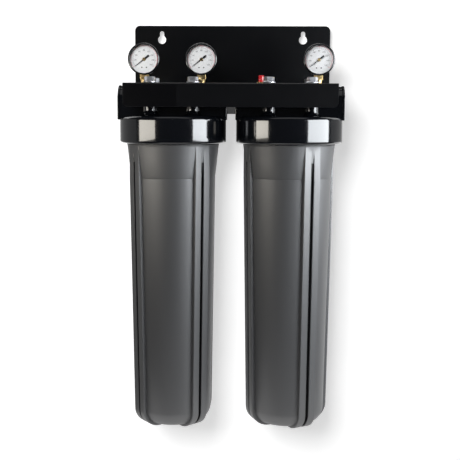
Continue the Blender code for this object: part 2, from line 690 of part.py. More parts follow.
def make_cartridges():
    top_face = CARTRIDGE_TOP - GASKET_THICKNESS - SEAT_GAP
    foot_face = CARTRIDGE_FOOT + GASKET_THICKNESS + SEAT_GAP
    media_top = top_face - CAP_THICKNESS - SEAT_GAP
    media_foot = foot_face + CAP_THICKNESS + SEAT_GAP
    media_radius = CARTRIDGE_RADIUS - CAP_WALL - SEAT_GAP
    core = tube_profile(CORE_BORE_RADIUS, CORE_RADIUS, media_foot, media_top)
    media = tube_profile(CORE_RADIUS + SEAT_GAP, media_radius, media_foot, media_top)
    upper_gasket = tube_profile(CORE_BORE_RADIUS, GASKET_RADIUS, top_face + SEAT_GAP, CARTRIDGE_TOP)
    lower_gasket = tube_profile(CORE_BORE_RADIUS, GASKET_RADIUS, CARTRIDGE_FOOT, foot_face - SEAT_GAP)
    pieces = {
        "core": (core, CORE_SIDES),
        "media": (media, CORE_SIDES),
        "top_cap": (end_cap_profile(top_face, -1), CORE_SIDES),
        "foot_cap": (end_cap_profile(foot_face, 1), CORE_SIDES),
        "top_gasket": (upper_gasket, SMALL_SIDES),
        "foot_gasket": (lower_gasket, SMALL_SIDES),
    }
    fillings = {"left": WHITE_FIBRE, "right": CARBON}
    for part, (profile, sides) in pieces.items():
        mesh = as_mesh(turned(profile, sides), f"cartridge_{part}")
        for side, x in HEAD_X.items():
            look = WHITE_PLASTIC
            if part == "media":
                look = fillings[side]
            elif part.endswith("gasket"):
                look = SEAL_BLACK
            place_piece(f"cartridge_{part}_{side}", mesh, look, (x, -HEAD_OUT, 0))


# Pressure gauges: brass socket, case, bezel, window, dial, pointer, curved tube and movement
def case_mesh():
    half = GAUGE_CASE_DEPTH / 2
    inner = GAUGE_CASE_RADIUS - GAUGE_CASE_WALL
    profile = [
        (0, -half),
        (GAUGE_CASE_RADIUS, -half),
        (GAUGE_CASE_RADIUS, half),
        (inner, half),
        (inner, GAUGE_CASE_WALL - half),
        (0, GAUGE_CASE_WALL - half),
    ]
    hole = cylinder(SOCKET_NECK + SEAT_GAP, -GAUGE_CASE_RADIUS - OVERRUN, -inner + OVERRUN, SMALL_SIDES)
    return combine("gauge_case", turned(profile, ROUND_SIDES, FACE_FRONT), [("DIFFERENCE", hole)])


def bezel_mesh():
    rim = GAUGE_CASE_DEPTH / 2
    nose = rim + GAUGE_BEZEL_NOSE
    aperture = GAUGE_BEZEL_RADIUS - GAUGE_BEZEL_LIP
    window_seat = GAUGE_CASE_RADIUS - GAUGE_CASE_WALL / 2
    lip = nose - GAUGE_BEZEL_ROUND
    profile = [(GAUGE_CASE_RADIUS + SEAT_GAP, rim - GAUGE_BEZEL_SKIRT)]
    profile += [(GAUGE_BEZEL_RADIUS, rim - GAUGE_BEZEL_SKIRT)]
    profile += arc((GAUGE_BEZEL_RADIUS - GAUGE_BEZEL_ROUND, lip), GAUGE_BEZEL_ROUND, 0, 90, 2)
    profile += [
        (aperture, nose),
        (aperture, lip),
        (window_seat, lip),
        (window_seat, rim + SEAT_GAP),
        (GAUGE_CASE_RADIUS + SEAT_GAP, rim + SEAT_GAP),
    ]
    return as_mesh(turned(profile, ROUND_SIDES, FACE_FRONT), "gauge_bezel")


def window_mesh():
    back = GAUGE_CASE_DEPTH / 2 + GAUGE_BEZEL_NOSE - GAUGE_BEZEL_ROUND - SEAT_GAP - GAUGE_WINDOW
    radius = GAUGE_CASE_RADIUS - GAUGE_CASE_WALL / 2 - SEAT_GAP
    profile = [(0, back), (radius, back), (radius, back + GAUGE_WINDOW), (0, back + GAUGE_WINDOW)]
    return as_mesh(turned(profile, ROUND_SIDES, FACE_FRONT), "gauge_window")


def dial_face():
    """Distance from the case's middle plane to the printed face of the dial."""
    return GAUGE_CASE_DEPTH / 2 - GAUGE_DIAL_SINK + GAUGE_DIAL


def dial_mesh():
    face = dial_face()
    radius = GAUGE_CASE_RADIUS - GAUGE_CASE_WALL - SEAT_GAP
    profile = tube_profile(SPINDLE_HOLE, radius, face - GAUGE_DIAL, face)
    return as_mesh(turned(profile, ROUND_SIDES, FACE_FRONT), "gauge_dial")


def pointer_mesh():
    """Needle, counterweight tail, hub and spindle in one piece, set on its zero."""
    face = dial_face()
    plate = face + POINTER_RISE
    outline = [
        (POINTER_ROOT, 0),
        (POINTER_TIP, POINTER_LENGTH),
        (-POINTER_TIP, POINTER_LENGTH),
        (-POINTER_ROOT, 0),
        (-POINTER_TAIL_WIDTH, -POINTER_TAIL),
        (POINTER_TAIL_WIDTH, -POINTER_TAIL),
    ]
    needle = prism(outline, plate, plate + POINTER_THICKNESS)
    hub_foot = face + SEAT_GAP
    profile = [
        (0, 0),
        (SPINDLE_RADIUS, 0),
        (SPINDLE_RADIUS, hub_foot),
        (HUB_RADIUS, hub_foot),
        (HUB_RADIUS, hub_foot + POINTER_RISE + HUB_HEIGHT),
        (0, hub_foot + POINTER_RISE + HUB_HEIGHT),
    ]
    mesh = combine("gauge_pointer", turned(profile, SMALL_SIDES), [("UNION", needle)])
    mesh.transform(FACE_FRONT @ Matrix.Rotation(POINTER_ZERO - math.pi / 2, 4, "Z"))
    return mesh


def socket_mesh():
    """Square brass socket: threaded foot in the head, neck in the case, bored to the tube."""
    top = -GAUGE_CASE_RADIUS - SEAT_GAP
    square_foot = top - SOCKET_HEIGHT
    foot = HEAD_TOP - GAUGE_TAP_DEPTH - GAUGE_CENTRE
    neck_top = -TUBE_RADIUS + TUBE_SECTION
    half = SOCKET_ACROSS / 2
    square = [(half, half), (-half, half), (-half, -half), (half, -half)]
    profile = [
        (0, foot),
        (SOCKET_THREAD, foot),
        (SOCKET_THREAD, square_foot - SOCKET_TAPER),
        (half, square_foot + SOCKET_OVERLAP),
        (SOCKET_NECK, square_foot + SOCKET_OVERLAP),
        (SOCKET_NECK, neck_top),
        (0, neck_top),
    ]
    bore = cylinder(SOCKET_BORE, foot - OVERRUN, neck_top - OVERRUN, SMALL_SIDES)
    steps = [("UNION", prism(square, square_foot, top)), ("DIFFERENCE", bore)]
    return combine("gauge_socket", turned(profile, SMALL_SIDES), steps)


def make_bourdon_tube(name, place):
    """The curved tube that uncoils under pressure, soldered beside the socket's neck."""
    curve = bpy.data.curves.new(name, "CURVE")
    curve.dimensions = "3D"
    curve.bevel_depth = TUBE_SECTION
    curve.bevel_resolution = 0
    curve.use_fill_caps = True
    count = SMALL_SIDES
    start = -math.pi / 2 + math.asin((SOCKET_NECK + TUBE_SECTION / 2) / TUBE_RADIUS)
    spline = curve.splines.new("POLY")
    spline.points.add(count)
    for index, point in enumerate(spline.points):
        angle = start + TUBE_SWEEP * index / count
        point.co = (TUBE_RADIUS * math.cos(angle), 0, TUBE_RADIUS * math.sin(angle), 1)
    piece = bpy.data.objects.new(name, curve)
    piece.location = place
    bpy.context.collection.objects.link(piece)
    curve.materials.append(new_material(name, BRASS))


def movement_mesh():
    """Frame that carries the spindle, seated on the socket's neck."""
    foot = -TUBE_RADIUS + TUBE_SECTION + SEAT_GAP
    half = MOVEMENT_WIDTH / 2
    toe = SOCKET_NECK / 2
    outline = [(half, MOVEMENT_RISE), (-half, MOVEMENT_RISE), (-half, -half), (-toe, foot),
               (toe, foot), (half, -half)]
    block = prism(outline, -MOVEMENT_DEPTH / 2, MOVEMENT_DEPTH / 2, FACE_FRONT)
    hole = cylinder(SPINDLE_HOLE, -OVERRUN - MOVEMENT_DEPTH, MOVEMENT_DEPTH + OVERRUN, SMALL_SIDES)
    hole.transform(FACE_FRONT)
    bmesh.ops.recalc_face_normals(block, faces=block.faces)
    return combine("gauge_movement", block, [("DIFFERENCE", hole)])


def make_gauges():
    pieces = {
        "socket": (socket_mesh(), BRASS),
        "case": (case_mesh(), GLOSS_BLACK),
        "bezel": (bezel_mesh(), GLOSS_BLACK),
        "window": (window_mesh(), WINDOW_CLEAR),
        "dial": (dial_mesh(), DIAL_WHITE),
        "pointer": (pointer_mesh(), POINTER_BLACK),
        "movement": (movement_mesh(), BRASS),
    }
    for spot, x in GAUGE_PLACES.items():
        place = (x, -HEAD_OUT, GAUGE_CENTRE)
        for part, (mesh, look) in pieces.items():
            place_piece(f"gauge_{part}_{spot}", mesh, look, place)
        make_bourdon_tube(f"gauge_bourdon_tube_{spot}", place)


# Pressure relief valve: body, push button on its stem, return spring and seal
def make_relief_valve():
    place = (RELIEF_X, -HEAD_OUT, HEAD_TOP + SEAT_GAP)
    thread_foot = -GAUGE_TAP_DEPTH
    body = [
        (RELIEF_STEM_HOLE, RELIEF_FLOOR),
        (RELIEF_CHAMBER_RADIUS, RELIEF_FLOOR),
        (RELIEF_CHAMBER_RADIUS, RELIEF_BODY_HEIGHT),
        (RELIEF_BODY_RADIUS, RELIEF_BODY_HEIGHT),
        (RELIEF_BODY_RADIUS, 0),
        (SOCKET_THREAD, 0),
        (SOCKET_THREAD, thread_foot),
        (RELIEF_MOUTH_RADIUS, thread_foot),
        (RELIEF_MOUTH_RADIUS, -RELIEF_SEAT_DEPTH),
        (RELIEF_STEM_HOLE, -RELIEF_SEAT_DEPTH),
    ]
    place_piece("relief_valve_body", as_mesh(turned(body, SMALL_SIDES), "relief_valve_body"), BRASS, place)
    seal_top = -RELIEF_SEAT_DEPTH - SEAT_GAP
    seal_foot = seal_top - RELIEF_SEAL_THICKNESS
    stem_foot = seal_foot - SEAT_GAP - STEM_FOOT
    stem_hole = RELIEF_STEM_RADIUS + SEAT_GAP
    button = [
        (0, stem_foot),
        (RELIEF_STEM_HOLE, stem_foot),
        (RELIEF_STEM_HOLE, seal_foot - SEAT_GAP),
        (RELIEF_STEM_RADIUS, seal_foot - SEAT_GAP),
        (RELIEF_STEM_RADIUS, BUTTON_FOOT),
        (BUTTON_RADIUS, BUTTON_FOOT),
    ]
    button += arc((BUTTON_RADIUS - BUTTON_ROUND, BUTTON_TOP - BUTTON_ROUND), BUTTON_ROUND, 0, 90, 2)
    button += [(0, BUTTON_TOP)]
    place_piece("relief_button", as_mesh(turned(button, SMALL_SIDES), "relief_button"), BUTTON_RED, place)
    seal = tube_profile(stem_hole, RELIEF_SEAL_RADIUS, seal_foot, seal_top)
    place_piece("relief_seal", as_mesh(turned(seal, SMALL_SIDES), "relief_seal"), SEAL_BLACK, place)
    make_relief_spring(place)


def make_relief_spring(place):
    low = RELIEF_FLOOR + SEAT_GAP + SPRING_WIRE
    high = BUTTON_FOOT - SEAT_GAP - SPRING_WIRE
    curve = bpy.data.curves.new("relief_spring", "CURVE")
    curve.dimensions = "3D"
    curve.bevel_depth = SPRING_WIRE
    curve.bevel_resolution = 0
    curve.use_fill_caps = True
    count = SPRING_TURNS * SPRING_POINTS
    spline = curve.splines.new("POLY")
    spline.points.add(count)
    for index, point in enumerate(spline.points):
        angle = math.tau * index / SPRING_POINTS
        height = low + (high - low) * index / count
        point.co = (SPRING_RADIUS * math.cos(angle), SPRING_RADIUS * math.sin(angle), height, 1)
    piece = bpy.data.objects.new("relief_spring", curve)
    piece.location = place
    bpy.context.collection.objects.link(piece)
    curve.materials.append(new_material("relief_spring", SPRING_STEEL))


clear_scene()
make_bracket()
make_heads()
make_bolts()
make_nipple()
make_sumps()
make_ring_seals()
make_cartridges()
make_gauges()
make_relief_valve()
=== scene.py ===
"""Looks of the twin jumbo water filter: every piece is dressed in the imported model's own frame.

World frame, in metres: x to the right, y towards the wall, z up; the bracket's back is y = 0 and the
keyholes are at z = 0. The sections follow the filter as it is put together, and the studio comes last.
"""

import math

import bmesh
import bpy
from mathutils import Matrix, Vector


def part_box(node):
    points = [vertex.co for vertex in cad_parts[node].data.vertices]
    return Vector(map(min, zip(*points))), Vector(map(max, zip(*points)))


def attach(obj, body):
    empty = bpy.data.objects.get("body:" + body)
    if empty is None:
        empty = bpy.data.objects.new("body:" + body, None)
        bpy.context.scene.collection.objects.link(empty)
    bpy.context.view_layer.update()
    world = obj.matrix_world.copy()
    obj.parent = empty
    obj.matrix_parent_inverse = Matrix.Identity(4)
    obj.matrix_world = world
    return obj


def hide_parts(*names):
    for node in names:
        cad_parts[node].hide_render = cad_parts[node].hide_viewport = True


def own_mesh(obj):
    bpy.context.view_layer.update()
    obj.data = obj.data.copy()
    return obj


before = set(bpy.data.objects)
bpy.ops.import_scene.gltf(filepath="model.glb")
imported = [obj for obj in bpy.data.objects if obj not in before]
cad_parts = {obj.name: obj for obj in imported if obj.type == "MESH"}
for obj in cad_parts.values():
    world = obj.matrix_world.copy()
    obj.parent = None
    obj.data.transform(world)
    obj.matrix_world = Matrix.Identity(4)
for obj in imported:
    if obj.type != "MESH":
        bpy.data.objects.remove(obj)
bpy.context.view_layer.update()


# Bracket: one 3 mm steel sheet, laser cut, folded twice and powder coated satin black. It hangs on two
# keyholes in its back plate, and the heads are bolted up against its shelf from above.
class Value:
    """An output of one of a material's nodes. Sums and products of it add their own Math nodes."""

    def __init__(self, finish, socket):
        self.finish, self.socket = finish, socket

    def output(self, name):
        """Another output of the same node."""
        return Value(self.finish, self.socket.node.outputs[name])

    def maths(self, operation, *terms):
        return self.finish.node("ShaderNodeMath", {"operation": operation}, dict(enumerate(terms)))

    def __add__(self, other):
        return self.maths("ADD", self, other)

    def __radd__(self, other):
        return self.maths("ADD", other, self)

    def __mul__(self, other):
        return self.maths("MULTIPLY", self, other)

    def __rmul__(self, other):
        return self.maths("MULTIPLY", other, self)


class Finish:
    """A material under way: one Principled shader, fed by nodes that are added one at a time."""

    def __init__(self, name, **sockets):
        self.material = bpy.data.materials.new(name)
        self.material.use_nodes = True
        self.tree = self.material.node_tree
        self.shader = self.tree.nodes["Principled BSDF"]
        self.place = self.node("ShaderNodeTexCoord", output="Object")
        self.surface(**sockets)

    def plug(self, socket, value):
        if isinstance(value, Value):
            self.tree.links.new(value.socket, socket)
        elif socket.type == "RGBA" and len(value) == 3:
            socket.default_value = (*value, 1)
        else:
            socket.default_value = value

    def node(self, kind, settings=None, sockets=None, output=0):
        """Add a node: its settings first, then the values or links of its sockets."""
        made = self.tree.nodes.new(kind)
        for name, value in (settings or {}).items():
            setattr(made, name, value)
        for name, value in (sockets or {}).items():
            self.plug(made.inputs[name], value)
        return Value(self, made.outputs[output])

    def surface(self, **sockets):
        """Set the shader's own sockets; an underscore stands for the space in a socket's name."""
        for name, value in sockets.items():
            self.plug(self.shader.inputs[name.replace("_", " ")], value)

    def show(self, shader):
        """Let the material show this shader in place of the Principled one."""
        self.plug(self.tree.nodes["Material Output"].inputs["Surface"], shader)

    def speckle(self, scale, detail=2, roughness=0.5, stretch=(1, 1, 1)):
        """Noise about 1 / scale metres wide, drawn out by stretch."""
        at = self.node("ShaderNodeMapping", None, {"Vector": self.place, "Scale": stretch})
        return self.node("ShaderNodeTexNoise", None,
                         {"Vector": at, "Scale": scale, "Detail": detail, "Roughness": roughness})

    def blend(self, share, first, second):
        """A colour between two others."""
        return self.node("ShaderNodeMix", {"data_type": "RGBA"}, {0: share, 6: first, 7: second}, output=2)

    def relief(self, height, depth, strength):
        """Bumps of a depth in metres, which the light shows and the mesh doesn't hold."""
        bumps = {"Strength": strength, "Distance": depth, "Height": height}
        self.surface(Normal=self.node("ShaderNodeBump", None, bumps))


def uneven(name, colour, roughness, spread, grain, detail=2, **sockets):
    """A finish of one colour, whose roughness wanders over the surface by up to its spread."""
    finish = Finish(name, Base_Color=colour, **sockets)
    finish.surface(Roughness=roughness + spread * finish.speckle(grain, detail))
    return finish


def rod(bm, radius, start, end, sides):
    """Add a round bar between two points."""
    start, end = Vector(start), Vector(end)
    turn = (end - start).to_track_quat("Z", "Y").to_matrix().to_4x4()
    bmesh.ops.create_cone(bm, cap_ends=True, segments=sides, radius1=radius, radius2=radius,
                          depth=(end - start).length, matrix=Matrix.Translation((start + end) / 2) @ turn)


def block(bm, low, high):
    """Add a box between two corners."""
    low, high = Vector(low), Vector(high)
    place = Matrix.Translation((low + high) / 2) @ Matrix.Diagonal((*(high - low), 1))
    bmesh.ops.create_cube(bm, size=1, matrix=place)


def round_off(bm, geom, radius, segments, affect="EDGES"):
    """Round off some of a bmesh's edges or corners."""
    bmesh.ops.bevel(bm, geom=geom, affect=affect, offset=radius, segments=segments, profile=0.5, material=-1)


def piece(name, bm, finishes=(), body=None, slot=None, *nodes, sharp=None):
    """Close a bmesh into a smooth piece that rides on a body and stands for its CAD nodes.

    Edges that turn by more than the sharp angle, in degrees, stay sharp.
    """
    mesh = bpy.data.meshes.new(name)
    bm.to_mesh(mesh)
    bm.free()
    mesh.shade_smooth()
    if sharp:
        mesh.set_sharp_from_angle(angle=math.radians(sharp))
    made = bpy.data.objects.new(name, mesh)
    bpy.context.scene.collection.objects.link(made)
    for finish in finishes:
        mesh.materials.append(finish.material)
    if body:
        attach(made, body)
        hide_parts(*nodes)
    return made


def evaluated_mesh(made):
    """The mesh that an object shows with its modifiers applied."""
    bpy.context.view_layer.update()
    return bpy.data.meshes.new_from_object(made.evaluated_get(bpy.context.evaluated_depsgraph_get()))


def carve(bm, *steps):
    """Join and cut bodies on a bmesh, in turn, and return the result as a new bmesh."""
    work = piece("work", bm)
    guides = [work]
    for operation, other in steps:
        guides.append(piece("guide", other))
        change = work.modifiers.new("change", "BOOLEAN")
        change.operation, change.object, change.solver = operation, guides[-1], "EXACT"
    mesh = evaluated_mesh(work)
    carved = bmesh.new()
    carved.from_mesh(mesh)
    for guide in guides:
        bpy.data.meshes.remove(guide.data)
    bpy.data.meshes.remove(mesh)
    return carved


def keep_flats(made):
    """Shade a piece's flats evenly between its rounded edges."""
    made.modifiers.new("flats", "WEIGHTED_NORMAL").keep_sharp = True


powder_coat = uneven("powder_coat", (0.0015, 0.0016, 0.0021), 0.30, 0.10, 38, 3, IOR=1.38, Coat_Weight=0.12,
                     Coat_Roughness=0.25)
orange_peel = powder_coat.speckle(520, 3, 0.45)
powder_coat.relief(orange_peel, 0.00007, 0.55)

SHEET = 0.003
FOLD_RADIUS = 0.0035
PLATE_CORNER = 0.009
LIP_CORNER = 0.008
SHELF_TOP = -0.082
HEAD_X = {"left": -0.101, "right": 0.101}
HEAD_Y = -0.098
PILLAR_REACH = 0.0365
PILLARS = [(x, y) for x in (-PILLAR_REACH, PILLAR_REACH) for y in (-PILLAR_REACH, PILLAR_REACH)]
TAP_REACH = 0.0493
KEYHOLE_X = 0.1285
KEYHOLE_RADIUS = 0.0074
SLOT_RADIUS = 0.0039
SLOT_TOP = 0.0115
BOLT_HOLE_RADIUS = 0.0055
SOCKET_HOLE_RADIUS = 0.0105
bracket_low, bracket_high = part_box("bracket")

back_middle = -SHEET / 2
shelf_middle = SHELF_TOP - SHEET / 2
lip_middle = bracket_low.y + SHEET / 2
sheet = bmesh.new()
path = [(back_middle, bracket_high.z), (back_middle, shelf_middle), (lip_middle, shelf_middle),
        (lip_middle, bracket_low.z)]
end = [sheet.verts.new((bracket_low.x, y, z)) for y, z in path]
grown = bmesh.ops.extrude_edge_only(sheet, edges=[sheet.edges.new(pair) for pair in zip(end, end[1:])])
bmesh.ops.translate(sheet, vec=(bracket_high.x - bracket_low.x, 0, 0),
                    verts=[v for v in grown["geom"] if isinstance(v, bmesh.types.BMVert)])
round_off(sheet, [e for e in sheet.edges if len(e.link_faces) == 2], FOLD_RADIUS, 8)
for height, radius in ((bracket_high.z, PLATE_CORNER), (bracket_low.z, LIP_CORNER)):
    round_off(sheet, [v for v in sheet.verts if abs(v.co.z - height) < 0.0001], radius, 10, "VERTICES")
bmesh.ops.recalc_face_normals(sheet, faces=sheet.faces)
bmesh.ops.solidify(sheet, geom=sheet.faces, thickness=SHEET)
sheet_back = max(v.co.y for v in sheet.verts)
sheet_foot = min(v.co.z for v in sheet.verts)
bmesh.ops.translate(sheet, vec=(0, -sheet_back, bracket_low.z - sheet_foot), verts=sheet.verts)
bmesh.ops.recalc_face_normals(sheet, faces=sheet.faces)

rounds, slots, slot_tops = bmesh.new(), bmesh.new(), bmesh.new()
front, back = -0.01, 0.01
for x in (-KEYHOLE_X, KEYHOLE_X):
    rod(rounds, KEYHOLE_RADIUS, (x, front, 0), (x, back, 0), 64)
    block(slots, (x - SLOT_RADIUS, front, 0), (x + SLOT_RADIUS, back, SLOT_TOP))
    rod(slot_tops, SLOT_RADIUS, (x, front, SLOT_TOP), (x, back, SLOT_TOP), 40)
under, over = SHELF_TOP - 0.008, SHELF_TOP + 0.006
for head_x in HEAD_X.values():
    for along, across in PILLARS:
        x, y = head_x + along, HEAD_Y + across
        rod(rounds, BOLT_HOLE_RADIUS, (x, y, under), (x, y, over), 32)
    for tap in (-TAP_REACH, TAP_REACH):
        rod(rounds, SOCKET_HOLE_RADIUS, (head_x + tap, HEAD_Y, under), (head_x + tap, HEAD_Y, over), 48)
sheet = carve(sheet, ("DIFFERENCE", rounds), ("DIFFERENCE", slots), ("DIFFERENCE", slot_tops))
bracket = piece("bracket_sheet", sheet, [powder_coat], "frame", "powder_coat", "bracket")
edge = bracket.modifiers.new("edge", "BEVEL")
edge.width, edge.segments, edge.angle_limit = 0.0005, 2, math.radians(35)
edge.miter_outer = "MITER_ARC"
keep_flats(bracket)


# Blank sticker: a thin black plastic film with rounded corners, die cut and stuck on the left of the
# bracket's lip. It is a little glossier than the powder coat around it.
sticker_film = uneven("sticker_film", (0.0012, 0.0012, 0.0016), 0.26, 0.05, 90, IOR=1.38)

FILM = 0.00018
FILM_OVERLAP = 0.0002
STICKER_LEFT, STICKER_RIGHT = -0.1755, -0.0885
STICKER_FOOT, STICKER_TOP = -0.1215, -0.0865
sticker = bmesh.new()
block(sticker, (STICKER_LEFT, bracket_low.y - FILM, STICKER_FOOT),
      (STICKER_RIGHT, bracket_low.y + FILM_OVERLAP, STICKER_TOP))
round_off(sticker, [e for e in sticker.edges if abs(e.verts[0].co.y - e.verts[1].co.y) > 0.0001], 0.002, 4)
piece("blank_sticker", sticker, [sticker_film], "frame", "powder_coat", sharp=40)


# Heads: two glossy black moulded caps with both pipe ports in one line. The collar below takes the
# sump's thread, four pillars reach up to the bracket, and a nose inside seals the cartridge's top.
def close_up(bm, gap):
    """Merge what a spin leaves double at its seam and poles, and turn all faces outwards."""
    bmesh.ops.remove_doubles(bm, verts=bm.verts, dist=gap)
    bmesh.ops.dissolve_degenerate(bm, dist=0.000001, edges=bm.edges)
    bmesh.ops.delete(bm, geom=[e for e in bm.edges if not e.link_faces], context="EDGES")
    bmesh.ops.recalc_face_normals(bm, faces=bm.faces)


def turned(points, rounds=(), sides=144, matrix=None):
    """Spin an outline of (radius, height) points; rounds gives corners, by number, their radius."""
    bm = bmesh.new()
    corners = [bm.verts.new((radius, 0, height)) for radius, height in points]
    bm.faces.new(corners)
    for number, radius in dict(rounds).items():
        round_off(bm, [corners[number]], radius, max(3, round(radius * 1500)), "VERTICES")
    bmesh.ops.delete(bm, geom=bm.faces[:], context="FACES_ONLY")
    bmesh.ops.spin(bm, geom=bm.verts[:] + bm.edges[:], cent=(0, 0, 0), axis=(0, 0, 1), angle=math.tau,
                   steps=sides, use_merge=True, use_duplicate=False)
    close_up(bm, 0.000001)
    if matrix is not None:
        bm.transform(matrix)
    return bm


def threads(crest, root, start, end, pitch):
    """Points down one side of a thread's section, cut as rings of that pitch."""
    points, count = [], round(abs(end - start) / pitch)
    step = (end - start) / count
    for turn in range(count):
        at = start + (end - start) * turn / count
        points += [(crest, at), (crest, at + step * 0.15), (root, at + step * 0.5), (root, at + step * 0.65)]
    return points + [(crest, end)]


def grown_end(bm, faces, step, growth=1.0, centre=(0, 0, 0)):
    """Extrude the end faces of a body by a step, scale their rim, and return the new end faces."""
    grown = bmesh.ops.extrude_face_region(bm, geom=faces + [e for f in faces for e in f.edges])["geom"]
    rim = [v for v in grown if isinstance(v, bmesh.types.BMVert)]
    bmesh.ops.scale(bm, verts=rim, vec=(growth,) * 3, space=Matrix.Translation(-Vector(centre)))
    bmesh.ops.translate(bm, verts=rim, vec=step)
    return [f for f in grown if isinstance(f, bmesh.types.BMFace)]


gloss_plastic = uneven("gloss_plastic", (0.0022, 0.0026, 0.0036), 0.10, 0.08, 60, 3, IOR=1.46,
                       Coat_Weight=1.0, Coat_Roughness=0.03, Coat_IOR=1.45)
gloss_plastic.relief(gloss_plastic.speckle(45, 1) + 0.03 * gloss_plastic.speckle(900, 2), 0.00012, 0.35)

ALONG_X = Matrix.Rotation(math.radians(90), 4, "Y")
SEAT_GAP = 0.0003
CLEAR = 0.004
HEAD_TOP = SHELF_TOP - SHEET - SEAT_GAP
DECK = -0.1375
CEILING = DECK - 0.0124
COLLAR_FOOT = DECK - 0.047
COLLAR_RADIUS = 0.0920
BORE_RADIUS = 0.0801
SEAT_RADIUS = 0.022
NOSE_SHOULDER = CEILING - 0.0068
NOSE_TIP = NOSE_SHOULDER - 0.008
NOSE_RADIUS = 0.0126
NOSE_BORE = 0.0095
DROP_REACH = 0.045
DROP_RADIUS = 0.012
PILLAR_RADIUS = 0.0105
PILLAR_FILLET = 0.008
BOLT_PILOT_RADIUS = 0.0047
TAP_RADIUS = 0.0066
PORT_AXIS = HEAD_TOP - 0.0283
PORT_REACH = 0.0935
PORT_RADIUS = 0.0283
PORT_RING = 0.0032
PORT_GROOVE = 0.0012
PORT_CREST, PORT_ROOT = 0.0170, 0.0179
PORT_DEPTH = 0.026
PIPE_PITCH = 0.00221
PASSAGE_RADIUS = 0.0125


def make_arch():
    """The port block: an arch along the row, with a shallow groove behind the ring at each end."""
    arch = bmesh.new()
    foot = DECK - 0.007
    corners = ((-PORT_RADIUS, foot), (-PORT_RADIUS, HEAD_TOP), (PORT_RADIUS, HEAD_TOP), (PORT_RADIUS, foot))
    arch.faces.new([arch.verts.new((-PORT_REACH, y, z)) for y, z in corners])
    round_off(arch, [v for v in arch.verts if v.co.z > PORT_AXIS], PORT_RADIUS, 24, "VERTICES")
    bmesh.ops.remove_doubles(arch, verts=arch.verts, dist=0.00001)
    end = arch.faces[:]
    slim = (PORT_RADIUS - PORT_GROOVE) / PORT_RADIUS
    waist = 2 * (PORT_REACH - PORT_RING - PORT_GROOVE)
    at = -PORT_REACH
    for step, growth in ((PORT_RING, 1), (PORT_GROOVE, slim), (waist, 1), (PORT_GROOVE, 1 / slim),
                         (PORT_RING, 1)):
        end = grown_end(arch, end, (step, 0, 0), growth, (at, 0, PORT_AXIS))
        at += step
    bmesh.ops.recalc_face_normals(arch, faces=arch.faces)
    rims = [e for e in arch.edges if all(abs(v.co.x) > PORT_REACH - 0.0001 for v in e.verts)]
    round_off(arch, rims, 0.0009, 3)
    return arch


def make_port_bore(inner, turn):
    """A threaded port with its passage, from the mouth in to a place along the row."""
    mouth, floor = PORT_REACH, PORT_REACH - PORT_DEPTH
    section = [(0, mouth + CLEAR), (0.0182 + CLEAR, mouth + CLEAR), (0.0180, mouth - 0.0002)]
    section += threads(PORT_CREST, PORT_ROOT, mouth - 0.0012, mouth - 0.0245, PIPE_PITCH)
    section += [(PORT_CREST, floor), (PASSAGE_RADIUS, floor), (PASSAGE_RADIUS, inner), (0, inner)]
    bore = turned(section, sides=64, matrix=Matrix.Rotation(turn, 4, "Z") @ ALONG_X)
    bmesh.ops.translate(bore, verts=bore.verts, vec=(0, 0, PORT_AXIS))
    return bore


def make_head():
    """One head about its own axis: the inlet is on the left, and the outlet leads out of the nose."""
    collar = turned([(0, DECK), (COLLAR_RADIUS, DECK), (COLLAR_RADIUS, COLLAR_FOOT),
                     (BORE_RADIUS, COLLAR_FOOT), (BORE_RADIUS, CEILING), (SEAT_RADIUS, CEILING),
                     (SEAT_RADIUS, NOSE_SHOULDER), (NOSE_RADIUS, NOSE_SHOULDER), (NOSE_RADIUS, NOSE_TIP),
                     (0, NOSE_TIP)],
                    {1: 0.0076, 2: 0.0046, 3: 0.001, 4: 0.002, 5: 0.001, 8: 0.001})
    pillars, holes = [], bmesh.new()
    foot_radius = PILLAR_RADIUS + PILLAR_FILLET
    for x, y in PILLARS:
        turns = [math.radians(264 - 18 * step) for step in range(6)]
        root = [(foot_radius + PILLAR_FILLET * math.cos(turn), DECK + PILLAR_FILLET * (1 + math.sin(turn)))
                for turn in turns]
        points = [(0, DECK - 0.004), (foot_radius, DECK - 0.004), *root, (PILLAR_RADIUS, HEAD_TOP),
                  (0, HEAD_TOP)]
        pillars.append(("UNION", turned(points, sides=40, matrix=Matrix.Translation((x, y, 0)))))
        rod(holes, BOLT_PILOT_RADIUS, (x, y, HEAD_TOP - 0.027), (x, y, HEAD_TOP + CLEAR), 24)
    for tap in (-TAP_REACH, TAP_REACH):
        rod(holes, TAP_RADIUS, (tap, 0, PORT_AXIS), (tap, 0, HEAD_TOP + CLEAR), 24)
    inlet = make_port_bore(DROP_REACH - DROP_RADIUS, math.pi)
    outlet = make_port_bore(-NOSE_BORE / 2, 0)
    nose_bore, drop = bmesh.new(), bmesh.new()
    rod(nose_bore, NOSE_BORE, (0, 0, NOSE_TIP - CLEAR), (0, 0, PORT_AXIS), 40)
    rod(drop, DROP_RADIUS, (-DROP_REACH, 0, CEILING - CLEAR), (-DROP_REACH, 0, PORT_AXIS), 40)
    return carve(collar, ("UNION", make_arch()), *pillars, ("DIFFERENCE", inlet), ("DIFFERENCE", outlet),
                 ("DIFFERENCE", nose_bore), ("DIFFERENCE", drop), ("DIFFERENCE", holes))


head = make_head()
for side, x in HEAD_X.items():
    moved = head.copy()
    bmesh.ops.translate(moved, verts=moved.verts, vec=(x, HEAD_Y, 0))
    piece(f"head_cap_{side}", moved, [gloss_plastic], "frame", "head_plastic", f"head_{side}", sharp=38)
head.free()


